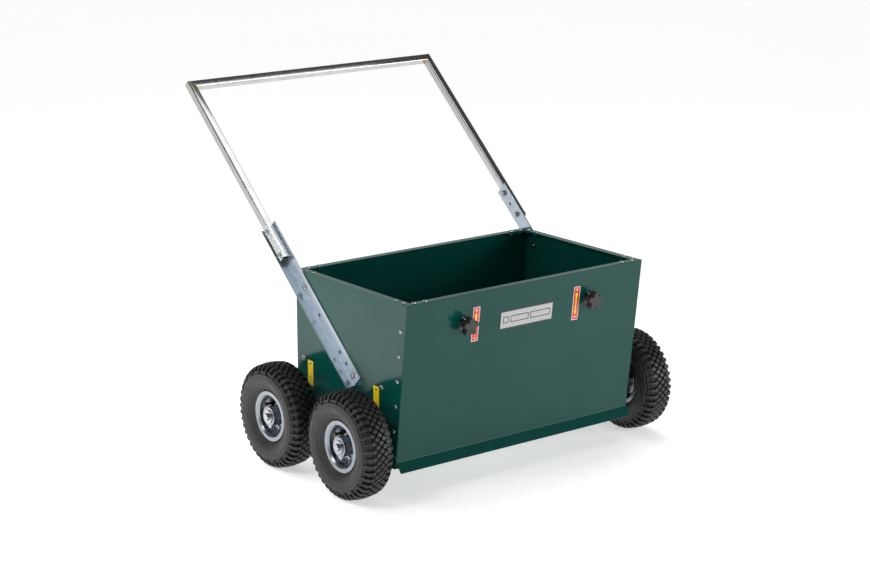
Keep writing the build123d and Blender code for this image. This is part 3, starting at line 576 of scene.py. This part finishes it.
def tread_pattern(radius, material):
    """Diamond blocks over the crown and radial lugs on both shoulders, wrapped round the wheel."""
    tread = Pattern("tread_pattern", Radius=radius, Material=material, **tread_sizes)
    given = tread.given
    outline = tread.node("GeometryNodeMeshToCurve", {"Mesh": given["Geometry"]}).outputs[0]
    around = tread.maths("MULTIPLY", given["Radius"], math.tau)
    step = tread.maths("DIVIDE", around, given["Blocks Around"])
    index = tread.node("GeometryNodeInputIndex").outputs[0]
    sunk = tread.maths("MULTIPLY", given["Depth"], -1.0)

    # diamonds: every other column is shifted by half a step
    columns = given["Columns"]
    column = tread.maths("MODULO", index, columns)
    turn = tread.maths("FLOOR", tread.maths("DIVIDE", index, columns))
    half_columns = tread.maths("DIVIDE", tread.maths("SUBTRACT", columns, 1.0), 2.0)
    across = tread.maths("MULTIPLY", tread.maths("SUBTRACT", column, half_columns), given["Column Pitch"])
    shift = tread.maths("MULTIPLY", tread.maths("MODULO", column, 2.0), 0.5)
    along = tread.maths("MULTIPLY", tread.maths("ADD", turn, shift), step)
    spots = tread.placed(
        tread.row(tread.maths("MULTIPLY", given["Blocks Around"], columns)), tread.vector(across, along)
    )
    pyramid = {
        "Vertices": 4,
        "Radius Top": given["Block Top Share"],
        "Radius Bottom": 1.0,
        "Depth": given["Depth"],
    }
    cone = tread.node("GeometryNodeMeshCone", pyramid)
    diamond = tread.node(
        "GeometryNodeTransform", {"Geometry": cone.outputs[0], "Translation": tread.vector(z=sunk)}
    ).outputs[0]
    half_width = tread.maths("MULTIPLY", given["Block Width"], 0.5)
    half_length = tread.maths("MULTIPLY", given["Block Length"], 0.5)
    diamonds = tread.copies(spots, diamond, Scale=tread.vector(half_width, half_length, 1.0))

    # lugs: long and short ones take turns on each side
    lugs = []
    for label, first in (("Long Lug", 0.0), ("Short Lug", 1.0)):
        side = tread.maths("MULTIPLY_ADD", tread.maths("MODULO", index, 2.0), 2.0, -1.0)
        pair = tread.maths("FLOOR", tread.maths("DIVIDE", index, 2.0))
        place = tread.maths("MULTIPLY_ADD", given[label], 0.5, given["Lug Start"])
        turn = tread.maths("MULTIPLY_ADD", pair, 2.0, first)
        spots = tread.placed(
            tread.row(given["Blocks Around"]),
            tread.vector(tread.maths("MULTIPLY", place, side), tread.maths("MULTIPLY", turn, step)),
        )
        size = tread.vector(given[label], given["Lug Width"], given["Depth"])
        cuts = {"Size": size, "Vertices X": lug_points, "Vertices Y": 2, "Vertices Z": 2}
        bar = tread.node("GeometryNodeMeshCube", cuts).outputs[0]
        at = tread.position()
        rise = tread.maths("DIVIDE", at["Z"], given["Depth"])
        slant = tread.maths("MULTIPLY_ADD", rise, lug_top_share - 1.0, (1.0 + lug_top_share) / 2)
        outwards = tread.maths("ADD", tread.maths("DIVIDE", at["X"], given[label]), 0.5)
        loss = tread.maths("SUBTRACT", given["Lug Tip Share"], 1.0)
        narrow = tread.maths("MULTIPLY", slant, tread.maths("MULTIPLY_ADD", outwards, loss, 1.0))
        height = tread.maths("MULTIPLY_ADD", given["Depth"], -0.5, at["Z"])
        width = tread.maths("MULTIPLY", at["Y"], narrow)
        tapered = tread.placed(bar, tread.vector(at["X"], width, height))
        facing = tread.maths("MULTIPLY", tread.maths("SUBTRACT", side, 1.0), -math.pi / 2)
        lugs.append(tread.copies(spots, tapered, Rotation=tread.vector(z=facing)))

    # wrap: x runs along the outline from the crown, y round the wheel, z out of the surface
    flat = tread.realized(tread.joined(diamonds, *lugs))
    at = tread.position()
    reach = tread.maths("ABSOLUTE", at["X"])
    side = tread.maths("SIGN", at["X"])
    sample = tread.node("GeometryNodeSampleCurve", {"Curves": outline, "Length": reach}, mode="LENGTH")
    spot = tread.parts(sample.outputs["Position"])
    heading = tread.parts(sample.outputs["Tangent"])
    leaning = tread.maths("MULTIPLY", heading["Z"], -1.0)
    x = tread.maths("MULTIPLY", tread.maths("MULTIPLY_ADD", leaning, at["Z"], spot["X"]), side)
    r = tread.maths("MULTIPLY_ADD", heading["X"], at["Z"], spot["Z"])
    angle = tread.maths("DIVIDE", at["Y"], given["Radius"])
    y = tread.maths("MULTIPLY", tread.maths("SINE", angle), r)
    z = tread.maths("MULTIPLY", tread.maths("COSINE", angle), r)
    tread.end(tread.placed(flat, tread.vector(x, y, z)))
    return tread


def fastener_pattern(screw, nut, material):
    """Screws and nuts on marked points: 'pointing' is the way the head faces, 'is_nut' picks the piece."""
    fasteners = Pattern("fastener_pattern", Screw=screw, Nut=nut, Seed=7, Material=material)
    given = fasteners.given
    attribute = "GeometryNodeInputNamedAttribute"
    pointing = fasteners.node(attribute, {"Name": "pointing"}, data_type="FLOAT_VECTOR")
    is_nut = fasteners.node(attribute, {"Name": "is_nut"}, data_type="BOOLEAN")
    facing = fasteners.node(
        "FunctionNodeAlignRotationToVector", {"Vector": pointing.outputs["Attribute"]}, axis="Z"
    ).outputs[0]
    spin = fasteners.node("FunctionNodeRandomValue", {"Seed": given["Seed"]}, data_type="FLOAT")
    spin.inputs[3].default_value = math.tau     # the most it can turn, from 0
    turn = {"Axis": (0.0, 0.0, 1.0), "Angle": spin.outputs[1]}
    about = fasteners.node("FunctionNodeAxisAngleToRotation", turn).outputs[0]
    turned = fasteners.node(
        "FunctionNodeRotateRotation", {"Rotation": facing, "Rotate By": about}, rotation_space="LOCAL"
    ).outputs[0]
    marked = is_nut.outputs["Attribute"]
    unmarked = fasteners.node("FunctionNodeBooleanMath", operation="NOT")
    fasteners.tree.links.new(marked, unmarked.inputs[0])
    sets = []
    for label, chosen in (("Screw", unmarked.outputs[0]), ("Nut", marked)):
        source = fasteners.node("GeometryNodeObjectInfo", {"Object": given[label]}).outputs["Geometry"]
        sets.append(fasteners.copies(given["Geometry"], source, Selection=chosen, Rotation=turned))
    fasteners.end(fasteners.realized(fasteners.joined(*sets)))
    return fasteners


# ------------------------------------------------------------------ tyres
def tyre_outline(half, radius, rim_half, rim_radius):
    """Right half of the outer skin, from the middle of the crown to the rim, as (across, radius)."""
    edge = (half * crown_flat_share, radius - crown_fall)
    rounding = (half - round_shoulder[0], radius - round_shoulder[1])
    shoulder = (half - shoulder_inset, radius - shoulder_drop)
    base = rim_radius - bead_drop
    belly = (half, base + belly_share * (radius - base))
    seat = rim_half - bead_inset
    crown = arc((-edge[0], edge[1]), (0.0, radius), edge, 2 * crown_steps)[crown_steps:]
    corner = arc(edge, rounding, shoulder, rounding_steps)[1:]
    side = arc(shoulder, belly, (seat, rim_radius), wall_steps)[1:]
    return crown + corner + side


def grooved(outline, radius):
    """The outline sunk to the bottom of the tread, fading out below the shoulder, with sidewall ribs."""
    sunk = []
    for i, (x, r) in enumerate(outline):
        before = outline[max(i - 1, 0)]
        after = outline[min(i + 1, len(outline) - 1)]
        run = math.hypot(after[0] - before[0], after[1] - before[1])
        normal = ((before[1] - after[1]) / run, (after[0] - before[0]) / run)
        below = radius - r
        share = 1.0 - (below - tread_fade[0]) / (tread_fade[1] - tread_fade[0])
        share = min(max(share, 0.0), 1.0)
        share = share * share * (3 - 2 * share)
        rise = 0.0
        for place, height in sidewall_ribs:
            gap = abs(below - place) / rib_half_width
            rise = max(rise, height * (1.0 - gap * gap))
        depth = max(tread_depth * share, rib_height) - rise
        sunk.append((x - normal[0] * depth, r - normal[1] * depth))
    return sunk


def finer(points, step):
    """The same line with extra points, so that narrow ribs show."""
    fine = [points[0]]
    for (ax, ay), (bx, by) in zip(points, points[1:]):
        pieces = max(1, round(math.hypot(bx - ax, by - ay) / step))
        for i in range(1, pieces + 1):
            fine.append((ax + (bx - ax) * i / pieces, ay + (by - ay) * i / pieces))
    return fine


def tyre_mesh(material):
    """One tyre round the X axis at the origin."""
    low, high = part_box("front_tyre_left")
    half, radius = (high.x - low.x) / 2, (high.z - low.z) / 2
    rim_low, rim_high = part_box("rear_rim_left")
    rim_half, rim_radius = (rim_high.x - rim_low.x) / 2, (rim_high.z - rim_low.z) / 2
    outer = tyre_outline(half, radius, rim_half, rim_radius)

    skin = grooved(finer(outer, skin_step), radius)
    base = rim_radius - bead_drop
    seat = rim_half - bead_inset
    neck = seat - casing_wall
    bead = [(seat, base + bead_chamfer), (seat - bead_chamfer, base), (neck, base), (neck, rim_radius)]
    belly = (half - casing_wall, base + belly_share * (radius - base))
    inner_top = (half - shoulder_inset, radius - shoulder_drop - shoulder_wall)
    lining = arc((neck, rim_radius), belly, inner_top, lining_steps)[1:]
    crown = (0.0, radius - casing_wall - crown_belt)
    ceiling = arc(inner_top, crown, (-inner_top[0], inner_top[1]), 2 * ceiling_steps)[1:ceiling_steps + 1]
    right = skin + bead + lining + ceiling
    left = [(-x, r) for x, r in reversed(right) if abs(x) > weld_gap]
    casing = revolved(right + left, casing_segments)

    line = bpy.data.meshes.new("tread_line")
    links = [(i, i + 1) for i in range(len(outer) - 1)]
    line.from_pydata([(x, 0.0, r) for x, r in outer], links, [])
    blocks = tread_pattern(radius, material).mesh(line, "tread")
    casing.from_mesh(blocks)
    tyre = finish_mesh(casing, "tyre", material, sharp=tread_shade_angle)

    dense = finer(outer, probe_step)
    surface = KDTree(len(dense))
    for i, (x, r) in enumerate(dense):
        surface.insert((x, r, 0.0), i)
    surface.balance()
    # depth under the outer skin of each point, used only for the painted shade in the grooves
    sunk = []
    for vert in tyre.vertices:
        at = (abs(vert.co.x), math.hypot(vert.co.y, vert.co.z), 0.0)
        sunk.append(min(surface.find(at)[2] / tread_depth, 1.0))
    tyre.attributes.new("groove_shade_depth", "FLOAT", "POINT").data.foreach_set("value", sunk)
    return tyre


def tyres(material):
    """The four tyres, each in its CAD tyre's place."""
    made = tyre_mesh(material)
    for node in ("front_tyre_left", "front_tyre_right", "rear_tyre_left", "rear_tyre_right"):
        low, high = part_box(node)
        mesh = made.copy()
        mesh.transform(Matrix.Translation((low + high) / 2))
        stand_for(show(node + "_tread", mesh), node)


# ------------------------------------------------------------------ fasteners
def dome_screw(sizes, length):
    """Button-head screw with a hexagon socket; the head's seat is z = 0."""
    head, height, shank, socket, _ = sizes
    rings = [
        (-length, shank * point_share, None),
        (-length + shank * (1.0 - point_share), shank, None),
        (0.0, shank, None),
        (0.0, head * head_foot_share, None),
        (height * head_rim_share, head, None),
    ]
    for i in range(1, dome_steps + 1):
        turn = math.pi / 2 * i / dome_steps
        rise = head_rim_share + (1.0 - head_rim_share) * math.sin(turn)
        reach = head_top_share + (1.0 - head_top_share) * math.cos(turn)
        rings.append((height * rise, head * reach, None))
    rings += [(height * socket_lip_share, head, socket), (height * socket_floor_share, head, socket)]
    return turned_rings(rings)


def hex_nut(sizes, height):
    """Nut with broken corners; z = 0 is its middle."""
    _, _, shank, _, flats = sizes
    chamfer = nut_chamfer * flats
    corner = flats / math.sqrt(3)
    low, high = -height / 2, height / 2
    rings = [
        (low, shank, None),
        (low, flats / 2, None),
        (low + chamfer, corner, flats),
        (high - chamfer, corner, flats),
        (high, flats / 2, None),
        (high, shank, None),
    ]
    return turned_rings(rings, closed=True)


def fasteners(node, sizes, axis, material):
    """Replace a CAD node of dome screws and nuts; axis 0 is X, facing out on both sides, 2 is up."""
    _, head_height, shank, _, flats = sizes
    spots, pointing, is_nut, lengths, nut_heights = [], [], [], [], []
    for solid in solid_points(node):
        centre = middle(solid)
        along = [p[axis] for p in solid]
        span = max(along) - min(along)
        facing = Vector((0.0, 0.0, 0.0))
        facing[axis] = 1.0
        if axis == 0 and centre.x < 0:
            facing.x = -1.0
        nut = span < flats
        seat = centre.copy()
        if nut:
            nut_heights.append(span)
        else:
            seat += facing * (span / 2 - head_height)
            lengths.append(span - head_height)
        spots.append(seat)
        pointing.append(facing)
        is_nut.append(nut)
    marks = bpy.data.meshes.new(node + "_marks")
    marks.from_pydata(spots, [], [])
    ways = marks.attributes.new("pointing", "FLOAT_VECTOR", "POINT")
    ways.data.foreach_set("vector", [c for way in pointing for c in way])
    kinds = marks.attributes.new("is_nut", "BOOLEAN", "POINT")
    kinds.data.foreach_set("value", is_nut)
    screw = show("screw_shape", finish_mesh(dome_screw(sizes, lengths[0]), "screw_shape", None))
    nut_height = nut_heights[0] if nut_heights else shank
    nut = show("nut_shape", finish_mesh(hex_nut(sizes, nut_height), "nut_shape", None))
    mesh = fastener_pattern(screw, nut, material).mesh(marks, node)
    bpy.data.objects.remove(screw)
    bpy.data.objects.remove(nut)
    stand_for(show(node + "_set", mesh), node)


# ------------------------------------------------------------------ printed films and plates
def rounded_box_points(width, height, corner):
    """Outline of a rounded rectangle round the origin."""
    points = []
    for quarter, (cx, cy) in enumerate(((1, 1), (-1, 1), (-1, -1), (1, -1))):
        for i in range(corner_steps + 1):
            angle = math.pi / 2 * (quarter + i / corner_steps)
            x = cx * (width / 2 - corner) + corner * math.cos(angle)
            y = cy * (height / 2 - corner) + corner * math.sin(angle)
            points.append((x, y))
    return points


def box_points(x, y, width, height):
    """Outline of a rectangle round (x, y)."""
    w, h = width / 2, height / 2
    return [(x - w, y - h), (x + w, y - h), (x + w, y + h), (x - w, y + h)]


def prism(work, points, low, high):
    """Flat shape from an outline of (x, y), between two heights."""
    face = work.faces.new([work.verts.new((x, y, low)) for x, y in points])
    made = bmesh.ops.extrude_face_region(work, geom=[face])
    top = [v for v in made["geom"] if isinstance(v, bmesh.types.BMVert)]
    bmesh.ops.translate(work, verts=top, vec=(0, 0, high - low))


def layered(name, layers, place, node):
    """A film or plate made of flat layers; layers are (outlines, low, high, material)."""
    work = bmesh.new()
    finishes = []
    for outlines, low, high, material in layers:
        if material not in finishes:
            finishes.append(material)
        before = set(work.faces)
        for points in outlines:
            prism(work, points, low, high)
        for face in set(work.faces) - before:
            face.material_index = finishes.index(material)
    bmesh.ops.recalc_face_normals(work, faces=work.faces)
    mesh = finish_mesh(work, name, None)
    for material in finishes:
        mesh.materials.append(material)
    mesh.transform(place)
    piece = show(name, mesh)
    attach(piece, body_of_node[node])
    return piece


def on_sheet(centre, across, up, thickness):
    """Placement whose z = 0 is the sheet under a film of this thickness."""
    outward = across.cross(up).normalized()
    turn = Matrix((across, up, outward)).transposed().to_4x4()
    return Matrix.Translation(centre - outward * thickness / 2) @ turn


def span(points, direction):
    """How far some points reach in a direction."""
    along = [p.dot(direction) for p in points]
    return max(along) - min(along)


def gate_scale_labels(white, red, yellow):
    """Red scale stickers beside the knobs: plus at the top, minus at the foot, an arrow between."""
    across = Vector((1.0, 0.0, 0.0))
    for solid in solid_points("gate_scale_labels"):
        width, height, thick = (span(solid, way) for way in (across, slope_up, front_outward))
        name = "gate_scale_label_left" if middle(solid).x < 0 else "gate_scale_label_right"
        film = thick * film_share
        sheet = rounded_box_points(width, height, label_corner)
        field = rounded_box_points(width - 2 * label_border, height - 2 * label_border, label_corner / 2)
        top = height / 2 - sign_inset
        plus = [box_points(0, top, sign_size, sign_bar), box_points(0, top, sign_bar, sign_size)]
        minus = [box_points(0, -top, sign_size, sign_bar)]
        tip = height / 2 - arrow_inset
        neck = tip - arrow_head
        arrow = [
            (0, tip), (-arrow_half, neck), (-arrow_neck, neck), (-arrow_neck, -neck), (-arrow_half, -neck),
            (0, -tip), (arrow_half, -neck), (arrow_neck, -neck), (arrow_neck, neck), (arrow_half, neck),
        ]
        layers = [
            ([sheet], 0.0, film, white),
            ([field], film, film + print_height, red),
            (plus[:1] + minus, film, film + 2 * print_height, white),
            (plus[1:], film, film + (2 + crossing_lift) * print_height, white),
            ([arrow], film, film + 2 * print_height, yellow),
        ]
        place = on_sheet(middle(solid), across, slope_up, thick)
        piece = layered(name, layers, place, "gate_scale_labels")
        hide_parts("gate_scale_labels")


def side_labels(yellow, black):
    """Plain yellow stickers with dark bars on the side panels."""
    solids = solid_points("side_labels")
    halfway = sum(middle(solid).y for solid in solids) / len(solids)
    for solid in solids:
        centre = middle(solid)
        side = "left" if centre.x < 0 else "right"
        end = "front" if centre.y < halfway else "rear"
        across = Vector((0.0, -1.0 if side == "left" else 1.0, 0.0))
        up = Vector((0.0, 0.0, 1.0))
        width, height = span(solid, across), span(solid, up)
        thick = span(solid, Vector((1.0, 0.0, 0.0)))
        film = thick * film_share
        top = height / 2
        marks = [box_points(0, top - mark_inset, width * mark_share, mark_height)]
        for i in range(bars):
            marks.append(box_points(0, top - bar_start - bar_pitch * i, width * bar_share, bar_height))
        layers = [
            ([rounded_box_points(width, height, label_corner)], 0.0, film, yellow),
            (marks, film, film + print_height, black),
        ]
        place = on_sheet(centre, across, up, thick)
        piece = layered(f"side_label_{side}_{end}", layers, place, "side_labels")
        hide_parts("side_labels")


def nameplate(metal, black):
    """Blank brushed plate with a thin dark line round it and empty outlined fields."""
    solid = solid_points("nameplate")[0]
    across = Vector((1.0, 0.0, 0.0))
    width, height, thick = (span(solid, way) for way in (across, slope_up, front_outward))
    inset = plate_line / 2
    w, h = width / 2 - inset, height / 2 - inset
    face = thick - print_height
    half_print = face + print_height / 2
    line = [
        box_points(0, h, 2 * w, plate_line),
        box_points(0, -h, 2 * w, plate_line),
        box_points(-w, 0, plate_line, 2 * h),
        box_points(w, 0, plate_line, 2 * h),
    ]
    layers = [
        ([rounded_box_points(width, height, plate_corner)], 0.0, face, metal),
        (line[:2], face, half_print, black),
        (line[2:], face, face + print_height, black),
    ]
    for centre, wide in plate_fields:
        for border, low, high, ink in (
            (0.0, face, half_print, black),
            (2 * plate_line, half_print, face + print_height, metal),
        ):
            field = rounded_box_points(wide - border, plate_field_height - border, plate_corner)
            layers.append(([[(x + centre, y) for x, y in field]], low, high, ink))
    place = on_sheet(middle(solid), across, slope_up, thick)
    piece = layered("nameplate_blank", layers, place, "nameplate")
    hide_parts("nameplate")


def handle_corners():
    """Inner corner points of the two welds, worked out from the grip."""
    low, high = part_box("handle_grip")
    centre = (low + high) / 2
    reach = (high.x - low.x) / 2 - weld_inset
    return [Vector((side * reach, centre.y, centre.z)) for side in (-1, 1)]


# ------------------------------------------------------------------ stage
sensor_width, lens_length = 36.0, 91.14                 # millimetres
camera_place = (-3.2786, -4.2897, 1.7700)
camera_pitch, camera_heading = 90.0 - 14.56, -37.86     # degrees
camera_reach = 100.0
floor_size = 40.0
floor_drop = 0.2 * mm
# Sky: (sine of the height above the horizon, brightness)
sky_greys = ((0.0, 1.0), (0.35, 0.36), (0.7, 0.10))
sky_tint = (0.97, 0.99, 1.0)
sun_strength, sun_spread, sun_turn = 1.4, 55.0, (-30.0, 12.0, 0.0)
# Softboxes: (name, place, target, size, watts, whether glossy surfaces show it)
softboxes = (
    ("overhead_softbox", (0.575, -0.305, 2.2), (0.575, -0.305, 0.0), (1.15, 1.15), 7.8, True),
    ("front_softbox", (2.4, -3.4, 1.2), (0.0, 0.0, 0.3), (1.6, 1.2), 65.0, True),
    ("side_softbox", (-2.4, -0.4, 2.4), (0.0, 0.0, 0.3), (0.9, 0.9), 26.0, True),
    ("floor_softbox", (-1.25, 0.8, 0.9), (-1.25, 0.8, 0.0), (1.1, 1.4), 15.0, False),
)


def degrees(*angles):
    return [math.radians(angle) for angle in angles]


def camera():
    lens = bpy.data.cameras.new("camera")
    lens.sensor_width = sensor_width
    lens.lens = lens_length
    lens.clip_end = camera_reach
    made = show("camera", lens)
    made.location = camera_place
    made.rotation_euler = degrees(camera_pitch, 0.0, camera_heading)
    bpy.context.scene.camera = made


def area_light(name, place, target, size, power, mirrored):
    """Soft rectangular light, aimed at its target."""
    lamp = bpy.data.lights.new(name, "AREA")
    lamp.shape = "RECTANGLE"
    lamp.size, lamp.size_y = size
    lamp.energy = power
    made = show(name, lamp)
    made.location = place
    made.rotation_euler = (Vector(target) - Vector(place)).to_track_quat("-Z", "Y").to_euler()
    made.visible_glossy = mirrored
    made.visible_camera = False


def sky():
    """Bright at the horizon, dark above."""
    world = bpy.data.worlds.new("studio_world")
    world.use_nodes = True
    tree = world.node_tree
    height = tree.nodes.new("ShaderNodeSeparateXYZ")
    tree.links.new(tree.nodes.new("ShaderNodeTexCoord").outputs["Object"], height.inputs[0])
    fade = tree.nodes.new("ShaderNodeValToRGB")
    tree.links.new(height.outputs["Z"], fade.inputs[0])
    fade.color_ramp.elements.new(0.5)
    for element, (place, grey) in zip(fade.color_ramp.elements, sky_greys):
        element.position = place
        element.color = (*(grey * share for share in sky_tint), 1.0)
    tree.links.new(fade.outputs["Color"], tree.nodes["Background"].inputs["Color"])
    bpy.context.scene.world = world


def studio():
    """Floor, sky and lights."""
    work = bmesh.new()
    bmesh.ops.create_grid(work, x_segments=1, y_segments=1, size=floor_size / 2)
    bmesh.ops.translate(work, verts=work.verts, vec=(0.0, 0.0, -floor_drop))
    floor = show("floor", finish_mesh(work, "floor", studio_floor()))
    sky()
    sun = bpy.data.lights.new("overhead_sun", "SUN")
    sun.energy = sun_strength
    sun.angle = math.radians(sun_spread)
    made = show("overhead_sun", sun)
    made.rotation_euler = degrees(*sun_turn)
    made.visible_glossy = False
    for softbox in softboxes:
        area_light(*softbox)
    bpy.context.scene.view_settings.view_transform = "Standard"


# ------------------------------------------------------------------ the machine
green = green_powder_coat()
bolt_steel = zinc_plate(
    "bright_bolts", (0.36, 0.37, 0.38), (0.46, 0.47, 0.48), rough=(0.16, 0.26), mottle=5.0 * mm
)
arm_steel = zinc_plate(
    "blue_zinc", (0.33, 0.38, 0.43), (0.38, 0.43, 0.48), rough=(0.22, 0.27), mottle=20.0 * mm, metal=0.75
)
rim_steel = zinc_plate(
    "rim_zinc", (0.24, 0.26, 0.29), (0.30, 0.32, 0.35), rough=(0.24, 0.30), mottle=26.0 * mm
)
shaft_steel = grained(
    "turned_steel", 12.0 * mm, (0.28, 0.29, 0.30), (0.38, 0.39, 0.40), grain=0.8 * mm,
    rough=(0.22, 0.38), relief=0.02 * mm, strength=0.4, detail=2.0, rings=True, Metallic=1.0,
)
casting_paint = grained(
    "black_casting", 10.0 * mm, (0.012, 0.012, 0.013), (0.024, 0.024, 0.026), grain=1.6 * mm,
    rough=(0.42, 0.62), relief=0.12 * mm, strength=0.6, detail=4.0,
)
soft_rubber = grained(
    "soft_rubber", 15.0 * mm, (0.010, 0.010, 0.010), (0.026, 0.026, 0.025), grain=1.1 * mm,
    rough=(0.60, 0.82), relief=0.06 * mm, strength=0.4, detail=3.0,
)
knob_plastic = grained(
    "knob_plastic", 8.0 * mm, (0.010, 0.010, 0.011), (0.018, 0.018, 0.019), grain=0.5 * mm,
    rough=(0.26, 0.38), relief=0.02 * mm, strength=0.35, detail=2.0,
)
rubber = tyre_rubber()
black_ink = printed_film("black_ink", (0.010, 0.010, 0.010), (0.016, 0.016, 0.016))
white_film = printed_film("white_film", (0.72, 0.72, 0.71), (0.80, 0.80, 0.79))
red_film = printed_film("red_film", (0.60, 0.030, 0.016), (0.68, 0.042, 0.022))
yellow_film = printed_film("yellow_film", (0.86, 0.62, 0.006), (0.93, 0.70, 0.010))
finishes = {
    "green_paint": green,
    "bolt_steel": bolt_steel,
    "zinc_steel": arm_steel,
    "tube_steel": handle_tube_steel(handle_corners()),
    "shaft_steel": shaft_steel,
    "bearing_steel": shaft_steel,
    "cast_iron": casting_paint,
    "rim_steel": rim_steel,
    "tyre": rubber,
    "tube_rubber": soft_rubber,
    "valve_brass": valve_brass(),
    "black_plastic": knob_plastic,
    "plate_aluminium": brushed_plate(),
    "red_label": red_film,
    "yellow_label": yellow_film,
}

camera()
studio()

for node, thing in frame["nodes"].items():
    thing.data.materials.clear()
    thing.data.materials.append(finishes[slot_of[node]])

for node in ("front_panel", "rear_panel", "side_panel_left", "side_panel_right", "hopper_floor"):
    dressed(node, green, edge=0.7 * mm, shortest=6.0 * mm)
for node in ("arm_left", "arm_right"):
    dressed(node, arm_steel, edge=0.7 * mm, shortest=6.0 * mm, folds=3.6)
for node in ("handle_leg_left", "handle_leg_right", "handle_grip"):
    dressed(node, finishes["tube_steel"], edge=0.3 * mm, shortest=1.0 * mm)
for node in ("front_rims", "rear_rim_left", "rear_rim_right"):
    dressed(node, rim_steel, edge=0.8 * mm, shortest=1.2 * mm)
for node in ("knob_left", "knob_right"):
    dressed(node, finishes["black_plastic"], edge=0.6 * mm)

tyres(rubber)
fasteners("rim_screws", m6_sizes, 2, bolt_steel)
fasteners("side_bolts", m6_sizes, 0, bolt_steel)
for node in ("cross_tie_bolts", "arm_bolts", "handle_bolts", "axle_flange_bolts"):
    fasteners(node, m8_sizes, 0, bolt_steel)
gate_scale_labels(white_film, red_film, yellow_film)
side_labels(yellow_film, black_ink)
nameplate(finishes["plate_aluminium"], black_ink)
